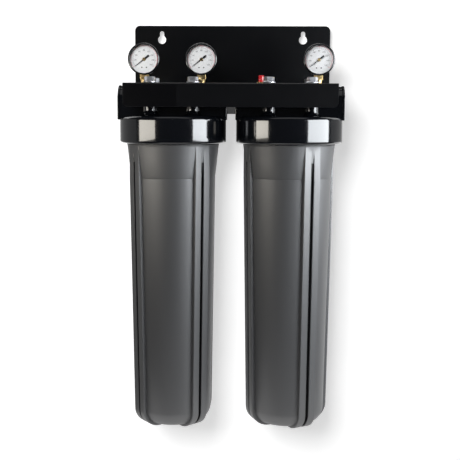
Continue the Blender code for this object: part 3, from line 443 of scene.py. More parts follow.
# Bolts: eight zinc-plated flanged hexagon bolts, pushed down through the bracket's shelf and driven
# into the heads' pillars. The flange is domed a little and the hexagon's corners are turned off.
zinc = uneven("zinc_plate", (0.82, 0.83, 0.87), 0.34, 0.14, 420, 4, Metallic=1.0)
zinc.relief(zinc.speckle(1500, 3, stretch=(1, 1, 0.2)), 0.00002, 0.5)

BOLT_SEAT = SHELF_TOP + SEAT_GAP
BOLT_TOP = BOLT_SEAT + 0.010
BOLT_FLATS = 0.016
BOLT_FOOT = HEAD_TOP - 0.023
BOLT_RADIUS, BOLT_ROOT = 0.0044, 0.0037
BOLT_PITCH = 0.00125
FLANGE_RADIUS = 0.0112
BOLT_TURNS = (36, 25, 32, 21)


def make_bolt():
    hexagon = bmesh.new()
    rod(hexagon, BOLT_FLATS / math.sqrt(3), (0, 0, BOLT_SEAT + 0.001), (0, 0, BOLT_TOP), 6)
    lens = turned([(0, BOLT_SEAT - 0.001), (0.0110, BOLT_SEAT - 0.001), (0.0110, BOLT_TOP - 0.0018),
                   (0.0078, BOLT_TOP), (0.0070, BOLT_TOP), (0.0060, BOLT_TOP - 0.0006),
                   (0, BOLT_TOP - 0.0006)], sides=48)
    flange = turned([(0, BOLT_SEAT), (FLANGE_RADIUS - 0.0004, BOLT_SEAT), (FLANGE_RADIUS, BOLT_SEAT + 0.0005),
                     (FLANGE_RADIUS, BOLT_SEAT + 0.0014), (FLANGE_RADIUS - 0.0020, BOLT_SEAT + 0.0032),
                     (0, BOLT_SEAT + 0.0036)], sides=48)
    shank = turned([(0, BOLT_FOOT), (0.0034, BOLT_FOOT)]
                   + threads(BOLT_RADIUS, BOLT_ROOT, BOLT_FOOT + 0.001, HEAD_TOP - 0.002, BOLT_PITCH)
                   + [(BOLT_RADIUS, BOLT_SEAT + 0.001), (0, BOLT_SEAT + 0.001)], sides=32)
    return carve(hexagon, ("INTERSECT", lens), ("UNION", flange), ("UNION", shank))


bolt = make_bolt()
for side, x in HEAD_X.items():
    for number, ((along, across), turn) in enumerate(zip(PILLARS, BOLT_TURNS), start=1):
        moved = bolt.copy()
        bmesh.ops.rotate(moved, verts=moved.verts, matrix=Matrix.Rotation(math.radians(turn), 3, "Z"))
        bmesh.ops.translate(moved, verts=moved.verts, vec=(x + along, HEAD_Y + across, 0))
        name = f"{side}_{number}"
        piece(f"flanged_bolt_{name}", moved, [zinc], "frame", "zinc_plate", f"head_bolt_{name}", sharp=25)
bolt.free()


# Link nipple: a short black hexagon between the heads, with a threaded and bored end in each of them.
# Only the hexagon shows, in the gap under the bracket's lip.
NIPPLE_FLATS = 0.041
NIPPLE_HALF = 0.0072
NIPPLE_END = 0.0252
NIPPLE_CREST, NIPPLE_ROOT, NIPPLE_NOSE = 0.0167, 0.0159, 0.0160
nipple = bmesh.new()
rod(nipple, NIPPLE_FLATS / 2 / math.cos(math.pi / 6), (0, 0, -NIPPLE_HALF), (0, 0, NIPPLE_HALF), 6)
corners_off = turned([(0, -0.0075), (0.0200, -0.0075), (0.0240, -0.0052), (0.0240, 0.0052), (0.0200, 0.0075),
                      (0, 0.0075)], sides=64)
section = [(PASSAGE_RADIUS, -NIPPLE_END), (NIPPLE_NOSE, -NIPPLE_END)]
section += threads(NIPPLE_CREST, NIPPLE_ROOT, -0.0245, -0.0060, PIPE_PITCH)
section += threads(NIPPLE_CREST, NIPPLE_ROOT, 0.0060, 0.0245, PIPE_PITCH)
section += [(NIPPLE_NOSE, NIPPLE_END), (PASSAGE_RADIUS, NIPPLE_END)]
bore = bmesh.new()
rod(bore, PASSAGE_RADIUS, (0, 0, -0.03), (0, 0, 0.03), 64)
nipple = carve(nipple, ("INTERSECT", corners_off), ("DIFFERENCE", bore), ("UNION", turned(section, sides=64)))
nipple.transform(Matrix.Translation((0, HEAD_Y, PORT_AXIS)) @ ALONG_X)
piece("link_nipple_hex", nipple, [gloss_plastic], "frame", "head_plastic", "link_nipple", sharp=30)


# Sumps: deep dark grey bowls, moulded with a draft, four pairs of tall ribs and a small step under the
# rim. The threaded neck screws up into the head's collar, a seal ring in the groove on top of it. The
# narrow groove between a pair's ribs is the same plastic, painted darker as painted shade.
def add_to(bm, other):
    """Move one bmesh's faces into another."""
    spare = bpy.data.meshes.new("spare")
    other.to_mesh(spare)
    other.free()
    bm.from_mesh(spare)
    bpy.data.meshes.remove(spare)


sump_plastic = Finish("sump_plastic", Base_Color=(0.015, 0.0155, 0.017), IOR=2.3, Coat_Weight=0.15,
                      Coat_Roughness=0.30)
flow = sump_plastic.speckle(26, 3, stretch=(1, 1, 0.12))
sump_plastic.surface(Roughness=0.48 + 0.08 * flow,
                     Base_Color=sump_plastic.blend(flow, (0.013, 0.0135, 0.015), (0.017, 0.0175, 0.019)))
sump_plastic.relief(sump_plastic.speckle(1300, 2) + 0.6 * flow, 0.00005, 0.5)
# Painted shade: a near-black copy of the sump plastic, for the shade inside each rib pair's groove
groove_painted_shade = uneven("groove_painted_shade", (0.003, 0.003, 0.0035), 0.5, 0.1, 300, IOR=1.4)

CARTRIDGE_LENGTH = 0.508
NECK_TOP = CEILING - 0.0011
NECK_RIM, NECK_ROOT = 0.0795, 0.0776
RING_INNER, RING_OUTER, RING_DEPTH = 0.0725, 0.0779, 0.0046
SHOULDER = COLLAR_FOOT - 0.0008
BAND_FOOT = SHOULDER - 0.0038
STEP = SHOULDER - 0.0575
STEP_FOOT = STEP - 0.0016
STEP_RADIUS = 0.0736
RIM_RADIUS = 0.0785
RIB_FACE = 0.0785
RIB_RISE = 0.005
BASE_RADIUS = 0.0665
CORNER = 0.027
SEAT = NOSE_SHOULDER - SEAT_GAP - CARTRIDGE_LENGTH - SEAT_GAP
PLUG_TOP = SEAT + 0.008
PLUG_RADIUS = 0.0125
SUMP_FLOOR = SEAT - 0.007
SUMP_BASE = SUMP_FLOOR - 0.0075
FLOOR_CORNER = 0.016
INNER_RADIUS = 0.070
THREAD_TURNS, THREAD_PITCH, THREAD_STEPS = 3.35, 0.00635, 320
RIB_SPREAD = math.radians(49)
SUMP_TURNS = {"left": math.radians(-5), "right": math.radians(-20.5)}
# Across half of a rib pair: distance from the pair's middle, and share of the rib's full height
RIB_SECTION = [(0.0017, 0), (0.00225, 0.06), (0.00245, 0.72), (0.0027, 0.88), (0.0031, 0.975), (0.0038, 1),
               (0.0064, 1), (0.0088, 1), (0.0112, 1), (0.0138, 1), (0.0145, 0.975), (0.0149, 0.88),
               (0.01515, 0.72), (0.01535, 0.06), (0.0162, 0)]
RIB_REACH = RIB_SECTION[-1][0]


def sump_section():
    """Outline of (radius, height, rise and drop of a rib there), down the outside and up the inside."""
    neck = [(RING_OUTER, NECK_TOP), (NECK_RIM - 0.0005, NECK_TOP), (NECK_RIM, NECK_TOP - 0.0005),
            (NECK_RIM, NECK_TOP - 0.0062), (NECK_ROOT, NECK_TOP - 0.0080), (NECK_ROOT, SHOULDER)]
    band = [(0.0004, 0), (0.0013, 0.0003), (0.0018, 0.0010), (0.0017, 0.0018), (0.0012, 0.0023),
            (0.0010, 0.0038)]
    outline = [(radius, height, 0, 0) for radius, height in neck]
    outline += [(RIM_RADIUS + proud, SHOULDER - down, 0, 0) for proud, down in band]
    for number in range(1, 13):
        share = number / 12
        radius = RIM_RADIUS + 0.0010 * (1 - share) ** 6 - 0.0050 * share ** 1.4
        outline.append((radius, BAND_FOOT + (STEP - BAND_FOOT) * share, RIB_FACE - radius, 0))
    for drop, radius in ((0.0003, 0.0731), (0.0008, 0.0730), (0.0011, 0.0732), (0.0016, STEP_RADIUS)):
        outline.append((radius, STEP - drop, RIB_FACE - radius, 0))
    for number in range(1, 15):
        share = number / 14
        outline.append((STEP_RADIUS + (BASE_RADIUS - STEP_RADIUS) * share,
                        STEP_FOOT + (SUMP_BASE + CORNER - STEP_FOOT) * share, 0.0049 + 0.0001 * share, 0))
    for number in range(1, 13):
        turn = math.pi / 2 * number / 12
        outline.append((BASE_RADIUS - CORNER * (1 - math.cos(turn)),
                        SUMP_BASE + CORNER * (1 - math.sin(turn)),
                        RIB_RISE * math.cos(turn), 0.003 * math.sin(turn)))
    base = [(0.0365, 0.003), (0.0345, 0.0029), (0.0335, 0.0024), (0.0329, 0.0006), (0.0325, 0), (0.020, 0),
            (0, 0)]
    outline += [(radius, SUMP_BASE, 0, drop) for radius, drop in base]
    inner = [(0, PLUG_TOP), (PLUG_RADIUS - 0.001, PLUG_TOP), (PLUG_RADIUS, PLUG_TOP - 0.001),
             (PLUG_RADIUS, SEAT), (SEAT_RADIUS, SEAT), (SEAT_RADIUS, SUMP_FLOOR)]
    for number in range(7):
        turn = math.pi / 2 * number / 6
        inner.append((0.044 + FLOOR_CORNER * math.sin(turn),
                      SUMP_FLOOR + FLOOR_CORNER * (1 - math.cos(turn))))
    inner += [(0.0668, STEP), (INNER_RADIUS, BAND_FOOT), (INNER_RADIUS, NECK_TOP), (RING_INNER, NECK_TOP),
              (RING_INNER, NECK_TOP - RING_DEPTH), (RING_OUTER, NECK_TOP - RING_DEPTH)]
    return outline, inner


def rib_columns(turn):
    """Columns round the rim: the rib pair's middle, the distance from it, the rib's share, the next pair."""
    pair = [(-distance, share) for distance, share in reversed(RIB_SECTION)] + [(0, 0)] + RIB_SECTION
    middles = [turn + side + lean for side in (0, math.pi) for lean in (-RIB_SPREAD, RIB_SPREAD)]
    edge = RIB_REACH / RIM_RADIUS
    columns = []
    for middle, apart in zip(middles, (2 * RIB_SPREAD, math.pi - 2 * RIB_SPREAD) * 2):
        columns += [(middle, distance, share, apart) for distance, share in pair]
        gap = apart - 2 * edge
        count = round(gap / math.radians(3.1))
        columns += [(middle, (edge + gap * i / count) * RIM_RADIUS, 0, apart) for i in range(1, count)]
    return columns


def rib_angle(column, radius):
    """Where a column stands at a radius: a rib keeps its width, and the wall between takes the rest."""
    middle, distance, _, apart = column
    if abs(distance) <= RIB_REACH + 0.000001:
        return middle + distance / radius
    low, high = RIB_REACH / radius, apart - RIB_REACH / radius
    rim_low, rim_high = RIB_REACH / RIM_RADIUS, apart - RIB_REACH / RIM_RADIUS
    return middle + low + (distance / RIM_RADIUS - rim_low) / (rim_high - rim_low) * (high - low)


def make_sump(turn):
    """Spin the outline column by column, and lift the columns that lie on a rib."""
    bm = bmesh.new()
    rise, drop, wall = (bm.verts.layers.float.new(name) for name in ("rise", "drop", "wall"))
    column = bm.verts.layers.int.new("column")
    outline, inner = sump_section()
    ring = []
    for radius, height, up, down in outline + [(*point, 0, 0) for point in inner]:
        vert = bm.verts.new((0, -radius, height))
        vert[rise], vert[drop], vert[wall] = up, down, float(len(ring) < len(outline))
        ring.append(vert)
    pairs = zip([ring[-1]] + ring, ring)
    last = ring + [bm.edges.new(pair) for pair in pairs if pair[0].co.y or pair[1].co.y]
    columns = rib_columns(turn)
    angles = [middle + distance / RIM_RADIUS for middle, distance, _, _ in columns]
    angles.append(angles[0] + math.tau)
    bmesh.ops.rotate(bm, verts=bm.verts, matrix=Matrix.Rotation(angles[0], 3, "Z"))
    for number in range(1, len(angles)):
        last = bmesh.ops.spin(bm, geom=last, cent=(0, 0, 0), axis=(0, 0, 1), steps=1, use_duplicate=False,
                              angle=angles[number] - angles[number - 1])["geom_last"]
        for item in last:
            if isinstance(item, bmesh.types.BMVert):
                item[column] = number % len(columns)
    for vert in bm.verts:
        radius = math.hypot(vert.co.x, vert.co.y)
        if not vert[wall] or vert.co.z > BAND_FOOT or radius < 0.03:
            continue
        middle, _, share, _ = columns[vert[column]]
        angle = rib_angle(columns[vert[column]], radius)
        radius = (radius + vert[rise] * share) / math.cos(share * (angle - middle))
        vert.co = (radius * math.sin(angle), -radius * math.cos(angle), vert.co.z - vert[drop] * share)
    # Faces deep in a rib pair's groove take the second material, which is painted shade
    for face in bm.faces:
        on_wall = all(v[wall] and v.co.z < STEP + 0.03 for v in face.verts)
        lowest_share = min(columns[v[column]][2] for v in face.verts)
        in_groove_shade = max(abs(columns[v[column]][1]) for v in face.verts) < 0.0026 and lowest_share < 0.5
        face.material_index = int(on_wall and in_groove_shade and face.calc_center_median().z > SUMP_BASE + 0.002)
    close_up(bm, 0.000002)
    return bm


def neck_thread():
    """A little over three turns of a rounded thread, wound up the neck."""
    bm = bmesh.new()
    foot = SHOULDER + 0.0022
    tooth = [bm.verts.new((radius, 0, foot + up)) for radius, up in
             ((0.0770, 0), (0.0777, 0.0003), (0.0791, 0.0014), (0.0794, 0.0020), (0.0791, 0.0026),
              (0.0777, 0.0037), (0.0770, 0.0040))]
    start = bm.faces.new(tooth)
    climb = THREAD_TURNS * THREAD_PITCH / THREAD_STEPS
    grown = bmesh.ops.spin(bm, geom=tooth + list(start.edges), cent=(0, 0, 0), axis=(0, 0, 1),
                           dvec=(0, 0, climb), angle=THREAD_TURNS * math.tau, steps=THREAD_STEPS,
                           use_duplicate=False)
    bm.faces.new([item for item in grown["geom_last"] if isinstance(item, bmesh.types.BMVert)])
    bmesh.ops.recalc_face_normals(bm, faces=bm.faces)
    return bm


for side, x in HEAD_X.items():
    bowl = make_sump(SUMP_TURNS[side])
    add_to(bowl, neck_thread())
    bmesh.ops.translate(bowl, verts=bowl.verts, vec=(x, HEAD_Y, 0))
    name = f"sump_{side}"
    finishes = [sump_plastic, groove_painted_shade]
    keep_flats(piece(f"sump_bowl_{side}", bowl, finishes, name, "sump_plastic", name, sharp=62))


# Seal rings: two round black rubber rings, each lying in the groove on top of a sump's neck. They are
# moulded with a round section and put in by hand before the sump goes up.
seal_rubber = uneven("seal_rubber", (0.012, 0.012, 0.012), 0.5, 0.15, 300)

SEAL_RADIUS = 0.0752
SEAL_SECTION = 0.0024
SEAL_SIDES = 16
seal_turns = [math.tau * i / SEAL_SIDES for i in range(SEAL_SIDES)]
seal_points = [(SEAL_RADIUS + SEAL_SECTION * math.cos(turn), SEAL_SECTION * math.sin(turn))
               for turn in seal_turns]
for side, x in HEAD_X.items():
    low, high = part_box(f"sump_o_ring_{side}")
    ring = turned(seal_points, sides=128, matrix=Matrix.Translation((x, HEAD_Y, (low.z + high.z) / 2)))
    piece(f"seal_ring_{side}", ring, [seal_rubber], f"sump_{side}", "seal_rubber", f"sump_o_ring_{side}")


# Cartridges: a white wound one on the left and a black pressed carbon one on the right. Each is a
# moulded core, its media, a cap on each end and a flat rubber gasket on each cap.
cartridge_plastic = uneven("cartridge_plastic", (0.80, 0.80, 0.78), 0.42, 0.12, 120)
cartridge_plastic.relief(cartridge_plastic.speckle(700), 0.00004, 0.4)
wound_fibre = Finish("wound_fibre", Roughness=0.92, Sheen_Weight=0.3)
strands = []
for tilt in (0.9, -0.9):
    leaning = {"Vector": wound_fibre.place, "Rotation": (0, tilt, 0)}
    waves = {"Vector": wound_fibre.node("ShaderNodeMapping", None, leaning), "Scale": 55, "Distortion": 1.5,
             "Detail": 2.0}
    strands.append(wound_fibre.node("ShaderNodeTexWave", {"bands_direction": "Z"}, waves, output=1))
crossing = strands[0] * strands[1]
wound_fibre.surface(Base_Color=wound_fibre.blend(crossing, (0.70, 0.70, 0.66), (0.88, 0.88, 0.85)))
wound_fibre.relief(strands[0] + strands[1] + wound_fibre.speckle(900, 3), 0.0006, 0.6)
pressed_carbon = Finish("pressed_carbon", Base_Color=(0.016, 0.016, 0.017))
grains = pressed_carbon.speckle(1600, 3, 0.7)
pressed_carbon.surface(Roughness=0.72 + 0.25 * grains)
pressed_carbon.relief(grains, 0.0003, 0.7)

CORE_BORE, CORE_RADIUS = 0.0140, 0.0165
MEDIA_BORE, MEDIA_RADIUS = 0.0168, 0.0551
CAP_RADIUS, SKIRT_BORE = 0.0570, 0.0554
GASKET_RADIUS = 0.0230
PLATE_SHARE = 4 / 9
moulded = (cartridge_plastic, "cartridge_plastic")
rubber = (seal_rubber, "seal_rubber")
medias = {"left": (wound_fibre, "spun_fibre"), "right": (pressed_carbon, "carbon_block")}
for side, x in HEAD_X.items():
    cartridge = {"core": (CORE_BORE, CORE_RADIUS, moulded), "media": (MEDIA_BORE, MEDIA_RADIUS, medias[side]),
                 "top_cap": (CORE_BORE, CAP_RADIUS, moulded), "foot_cap": (CORE_BORE, CAP_RADIUS, moulded),
                 "top_gasket": (CORE_BORE, GASKET_RADIUS, rubber),
                 "foot_gasket": (CORE_BORE, GASKET_RADIUS, rubber)}
    for part, (inner, outer, (finish, slot)) in cartridge.items():
        low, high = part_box(f"cartridge_{part}_{side}")
        points, rounds = [(inner, low.z), (outer, low.z), (outer, high.z), (inner, high.z)], {}
        if part.endswith("cap"):
            face, skirt = (high.z, low.z) if part == "top_cap" else (low.z, high.z)
            plate = face + (skirt - face) * PLATE_SHARE
            points = [(inner, face), (outer, face), (outer, skirt), (SKIRT_BORE, skirt), (SKIRT_BORE, plate),
                      (inner, plate)]
            rounds = {1: 0.0012, 0: 0.0004}
        shape = turned(points, rounds, 72, Matrix.Translation((x, HEAD_Y, 0)))
        piece(f"filter_{part}_{side}", shape, [finish], f"cartridge_{side}", slot, f"cartridge_{part}_{side}",
              sharp=40)


# Pressure gauges: a square brass socket screwed into the head, a black steel case with a glossy bezel,
# a glass window, a white printed dial, and a black pointer on a brass hub over the movement.
brass = Finish("brass", Metallic=1.0)
tarnish = brass.speckle(130, 4, 0.6)
brass.surface(Base_Color=brass.blend(tarnish, (0.84, 0.58, 0.24), (0.95, 0.74, 0.38)),
              Roughness=0.24 + 0.18 * tarnish)
brass.relief(brass.speckle(1800, 2, stretch=(0.15, 1, 1)), 0.00002, 0.5)
gauge_black = uneven("gauge_black", (0.007, 0.007, 0.008), 0.16, 0.10, 150, IOR=1.5, Coat_Weight=0.8,
                     Coat_Roughness=0.04)
gauge_black.relief(gauge_black.speckle(400, 2), 0.00003, 0.3)
dial_white = uneven("dial_white", (0.78, 0.79, 0.80), 0.45, 0.10, 500)
red_ink = uneven("red_ink", (0.62, 0.10, 0.12), 0.5, 0.1, 800)
grey_ink = uneven("grey_ink", (0.09, 0.09, 0.10), 0.5, 0.1, 800)
pointer_black = uneven("pointer_black", (0.008, 0.008, 0.010), 0.35, 0.1, 600)
glass = Finish("gauge_glass", Base_Color=(1, 1, 1), Roughness=0.02)
clear = glass.node("ShaderNodeBsdfTransparent")
shine = glass.node("ShaderNodeBsdfGlossy", None, {"Color": (1, 1, 1), "Roughness": 0.03})
slant = glass.node("ShaderNodeFresnel", None, {"IOR": 1.45})
glass.show(glass.node("ShaderNodeMixShader", None, {0: slant, 1: clear, 2: shine}))

FRONT = Matrix.Rotation(math.radians(90), 4, "X")
GAUGES = {"left": HEAD_X["left"] - TAP_REACH, "middle": HEAD_X["left"] + TAP_REACH,
          "right": HEAD_X["right"] + TAP_REACH}
GAUGE_HEIGHT = -0.041
CASE_RADIUS = 0.026
CASE_HALF = 0.013
CASE_WALL = 0.0012
SOCKET_HALF = 0.0074
SOCKET_TOP, SOCKET_FOOT = -0.0263, -0.0338
SOCKET_NECK = -0.0192
STEM_FOOT = HEAD_TOP - 0.012 - GAUGE_HEIGHT
TAP_CREST, TAP_ROOT, TAP_PITCH = 0.0063, 0.0056, 0.0014
DIAL_RADIUS = 0.0245
DIAL_FACE, DIAL_BACK = 0.0078, 0.0070
PRINT_HEIGHT = DIAL_FACE + 0.00004
RED_RADIUS, GREY_RADIUS = 0.0232, 0.0192
ZERO, SWEEP = 218, 256
# Sections of the bezel, window and hub: radius, and height in front of the gauge's middle
BEZEL_SECTION = [(0.0263, 0.0080), (0.0272, 0.0080), (0.0272, 0.0175), (0.0242, 0.0175), (0.0242, 0.0161),
                 (0.0254, 0.0161), (0.0254, 0.0133), (0.0263, 0.0133)]
WINDOW_SECTION = [(0, 0.0142), (0.0251, 0.0142), (0.0251, 0.0158), (0, 0.0158)]
HUB_SECTION = [(0, 0), (0.0010, 0), (0.0010, 0.0081), (0.0027, 0.0081), (0.0027, 0.0112), (0.0011, 0.0114),
               (0, 0.0110)]


def dial_print():
    """Ticks, rings and plain numbers for the dial: red ones on the rim, grey ones inside it."""
    red, grey = bmesh.new(), bmesh.new()

    def tick(bm, angle, outer, length, width):
        turn = Matrix.Rotation(math.radians(angle), 4, "Z")
        place = Matrix.Translation((outer - length / 2, 0, PRINT_HEIGHT))
        size = Matrix.Diagonal((length, width, 0.00005, 1))
        bmesh.ops.create_cube(bm, size=1, matrix=turn @ place @ size)

    def number(bm, text, angle, radius, height):
        curve = bpy.data.curves.new("number", "FONT")
        curve.body, curve.size, curve.align_x, curve.align_y = text, height / 0.7, "CENTER", "CENTER"
        curve.extrude = 0.00002
        shown = bpy.data.objects.new("number", curve)
        bpy.context.scene.collection.objects.link(shown)
        mesh = evaluated_mesh(shown)
        at = math.radians(angle)
        mesh.transform(Matrix.Translation((radius * math.cos(at), radius * math.sin(at), PRINT_HEIGHT)))
        bm.from_mesh(mesh)
        bpy.data.meshes.remove(mesh)
        bpy.data.curves.remove(curve)

    for step in range(81):
        angle = ZERO - SWEEP * step / 80
        numbered = step % 10 == 0
        tick(red, angle, RED_RADIUS, 0.0019 if numbered else 0.0011, 0.00022)
        if step % 2 == 0:
            tick(grey, angle, GREY_RADIUS, 0.0016 if numbered else 0.0008, 0.00028 if numbered else 0.00018)
    for step in range(128):
        angle = ZERO - SWEEP * (step + 0.5) / 128
        tick(red, angle, RED_RADIUS + 0.0001, 0.0004, 0.00084)
        tick(grey, angle, GREY_RADIUS, 0.00015, 0.00070)
    for step in range(9):
        angle = ZERO - SWEEP * step / 8
        number(grey, str(20 * step), angle, 0.0150, 0.0026)
        number(red, str(2 * step), angle, 0.0203, 0.0013)
    return red, grey


def pointer_needle():
    """A tapered needle with a broad tail, both cut from thin sheet."""
    bm = bmesh.new()
    outline = [(0.0008, 0), (0.00045, 0.012), (0.00022, 0.0193), (0, 0.0197), (-0.00022, 0.0193),
               (-0.00045, 0.012), (-0.0008, 0), (-0.0009, -0.0030), (-0.0014, -0.0050), (-0.0015, -0.0100),
               (-0.0012, -0.0106), (0.0012, -0.0106), (0.0015, -0.0100), (0.0014, -0.0050), (0.0009, -0.0030)]
    flat = bm.faces.new([bm.verts.new((x, y, DIAL_FACE + 0.0022)) for x, y in outline])
    grown_end(bm, [flat], (0, 0, 0.0005))
    bmesh.ops.recalc_face_normals(bm, faces=bm.faces)
    bm.transform(Matrix.Rotation(math.radians(ZERO - 90), 4, "Z"))
    return bm


def gauge_socket():
    """A square bar turned down to a neck above and a threaded stem below, and bored for the pressure."""
    square = bmesh.new()
    block(square, (-SOCKET_HALF, -SOCKET_HALF, SOCKET_FOOT), (SOCKET_HALF, SOCKET_HALF, SOCKET_TOP))
    round_off(square, [e for e in square.edges if abs(e.verts[0].co.z - e.verts[1].co.z) > 0.001], 0.0008, 3)
    stem = turned([(0, STEM_FOOT), (0.0052, STEM_FOOT)]
                  + threads(TAP_CREST, TAP_ROOT, STEM_FOOT + 0.001, STEM_FOOT + 0.0115, TAP_PITCH)
                  + [(0.0060, SOCKET_FOOT - 0.005), (0.0072, SOCKET_FOOT), (0.0072, SOCKET_FOOT + 0.001),
                     (0.0050, SOCKET_FOOT + 0.001), (0.0050, SOCKET_NECK), (0, SOCKET_NECK)], sides=48)
    bore = bmesh.new()
    rod(bore, 0.002, (0, 0, STEM_FOOT - CLEAR), (0, 0, SOCKET_NECK - 0.004), 24)
    return carve(square, ("UNION", stem), ("DIFFERENCE", bore))


def gauge_case():
    """A pressed steel cup, open at the front, with a hole for the socket's neck in its foot."""
    inside, floor = CASE_RADIUS - CASE_WALL, CASE_WALL - CASE_HALF
    case = turned([(0, -CASE_HALF), (CASE_RADIUS, -CASE_HALF), (CASE_RADIUS, CASE_HALF), (inside, CASE_HALF),
                   (inside, floor), (0, floor)], {1: 0.0022, 4: 0.001}, 96, FRONT)
    hole = bmesh.new()
    rod(hole, 0.0053, (0, 0, -CASE_RADIUS - CLEAR), (0, 0, -0.021), 32)
    return carve(case, ("DIFFERENCE", hole))


def dial_screws():
    """Two small pan-head screws that hold the dial, each with a cut slot."""
    screws, slot_cut = bmesh.new(), bmesh.new()
    for x in (-0.0040, 0.0040):
        place = Matrix.Translation((x, -0.0140, DIAL_FACE + 0.0001))
        head = [(0, 0), (0.0011, 0), (0.0011, 0.0004), (0.0007, 0.0008), (0, 0.0009)]
        add_to(screws, turned(head, sides=24, matrix=place))
        block(slot_cut, (x - 0.0013, -0.01415, DIAL_FACE + 0.0006), (x + 0.0013, -0.01385, DIAL_FACE + 0.002))
    return carve(screws, ("DIFFERENCE", slot_cut))


dial = [(0.0016, DIAL_BACK), (DIAL_RADIUS, DIAL_BACK), (DIAL_RADIUS, DIAL_FACE), (0.0016, DIAL_FACE)]
red, grey = dial_print()
# Each part's shape, finish, slot, CAD node and sharp angle
gauge_parts = {
    "gauge_socket": (gauge_socket(), brass, "brass", "socket", 30),
    "gauge_case": (gauge_case(), gauge_black, "gauge_steel", "case", 40),
    "gauge_bezel": (turned(BEZEL_SECTION, {1: 0.0004, 2: 0.0022, 3: 0.0004}, 128, FRONT), gauge_black,
                    "gauge_steel", "bezel", 50),
    "gauge_window": (turned(WINDOW_SECTION, {2: 0.0003}, 96, FRONT), glass, "gauge_window", "window", 40),
    "gauge_dial": (turned(dial, {}, 96, FRONT), dial_white, "gauge_dial", "dial", 40),
    "red_print": (red, red_ink, "gauge_dial", None, 30),
    "grey_print": (grey, grey_ink, "gauge_dial", None, 30),
    "dial_screws": (dial_screws(), pointer_black, "pointer", None, 30),
    "pointer_needle": (pointer_needle(), pointer_black, "pointer", "pointer", 30),
    "pointer_hub": (turned(HUB_SECTION, {4: 0.0003}, 40, FRONT), brass, "brass", None, 30),
}
for name in ("red_print", "grey_print", "dial_screws", "pointer_needle"):
    gauge_parts[name][0].transform(FRONT)
for spot, x in GAUGES.items():
    for name, (shape, finish, slot, node, sharp) in gauge_parts.items():
        moved = shape.copy()
        bmesh.ops.translate(moved, verts=moved.verts, vec=(x, HEAD_Y, GAUGE_HEIGHT))
        body = f"pointer_{spot}" if name.startswith("pointer") else "frame"
        nodes = [f"gauge_{node}_{spot}"] if node else []
        piece(f"{name}_{spot}", moved, [finish], body, slot, *nodes, sharp=sharp)
    for part in ("movement", "bourdon_tube"):
        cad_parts[f"gauge_{part}_{spot}"].data.materials.clear()
        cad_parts[f"gauge_{part}_{spot}"].data.materials.append(brass.material)


# Relief valve: a brass body screwed into the right head, with a red push button on a stem, a rubber seal
# at the stem's foot and a return spring under the button. The spring is wound from thin steel wire.
button_red = uneven("button_red", (0.40, 0.010, 0.013), 0.22, 0.10, 250, Coat_Weight=0.6, Coat_Roughness=0.08)
button_red.relief(button_red.speckle(700), 0.00003, 0.3)
spring_steel = uneven("spring_steel", (0.60, 0.60, 0.62), 0.2, 0.15, 900, Metallic=1.0)

# Heights are above the body's seat on the head
VALVE = Matrix.Translation((HEAD_X["right"] - TAP_REACH, HEAD_Y, HEAD_TOP + SEAT_GAP))
CUP_RADIUS, CUP_BORE, CUP_TOP = 0.0085, 0.0054, 0.006
BODY_FOOT = -0.012
WEB_TOP, WEB_FOOT = 0.0005, -0.0055
STEM_HOLE, STEM_RADIUS = 0.0024, 0.0014
SEAL_THICKNESS = 0.0014
DISC_RADIUS, DISC = 0.0024, 0.0005
BUTTON_RADIUS, BUTTON_TOP = 0.0050, 0.0175
TRAVEL = 0.0025
WIRE = 0.00035
COIL_RADIUS = 0.0034
SPRING_TURNS = 3
SPRING_STEPS = 96
disc_foot = WEB_FOOT - SEAT_GAP - SEAL_THICKNESS - SEAT_GAP - DISC
button_foot = WEB_TOP + 0.0028 + TRAVEL
body = turned([(STEM_HOLE, WEB_TOP), (CUP_BORE, WEB_TOP), (CUP_BORE, CUP_TOP), (CUP_RADIUS, CUP_TOP),
               (CUP_RADIUS, 0), (TAP_CREST, 0)]
              + threads(TAP_CREST, TAP_ROOT, -0.001, -0.0115, TAP_PITCH)
              + [(TAP_ROOT, BODY_FOOT), (0.0045, BODY_FOOT), (0.0045, WEB_FOOT), (STEM_HOLE, WEB_FOOT)],
              {3: 0.0007, 2: 0.0003, 4: 0.0004}, 64, VALVE)
piece("relief_body", body, [brass], "frame", "brass", "relief_valve_body", sharp=35)
button = turned([(0, disc_foot), (DISC_RADIUS, disc_foot), (DISC_RADIUS, disc_foot + DISC),
                 (STEM_RADIUS, disc_foot + DISC), (STEM_RADIUS, button_foot), (BUTTON_RADIUS, button_foot),
                 (BUTTON_RADIUS, BUTTON_TOP), (0, BUTTON_TOP)], {6: 0.0014, 5: 0.0003}, 64, VALVE)
piece("red_button", button, [button_red], "button", "red_plastic", "relief_button", sharp=35)
spring_low = WEB_TOP + SEAT_GAP + WIRE
spring_rise = button_foot - SEAT_GAP - WIRE - spring_low
coil = bmesh.new()
upright = Matrix.Rotation(math.pi / 2, 4, "X")
bmesh.ops.create_circle(coil, cap_ends=True, segments=12, radius=WIRE,
                        matrix=Matrix.Translation((COIL_RADIUS, 0, spring_low)) @ upright)
bmesh.ops.spin(coil, geom=coil.verts[:] + coil.edges[:] + coil.faces[:], cent=(0, 0, 0), axis=(0, 0, 1),
               dvec=(0, 0, spring_rise / SPRING_STEPS), angle=math.tau * SPRING_TURNS, steps=SPRING_STEPS,
               use_merge=False, use_duplicate=False)
bmesh.ops.recalc_face_normals(coil, faces=coil.faces)
coil.transform(VALVE)
spring = piece("return_spring", coil, [spring_steel], "frame", "spring_steel", "relief_spring")
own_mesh(spring)
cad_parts["relief_seal"].data.materials.clear()
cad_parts["relief_seal"].data.materials.append(seal_rubber.material)


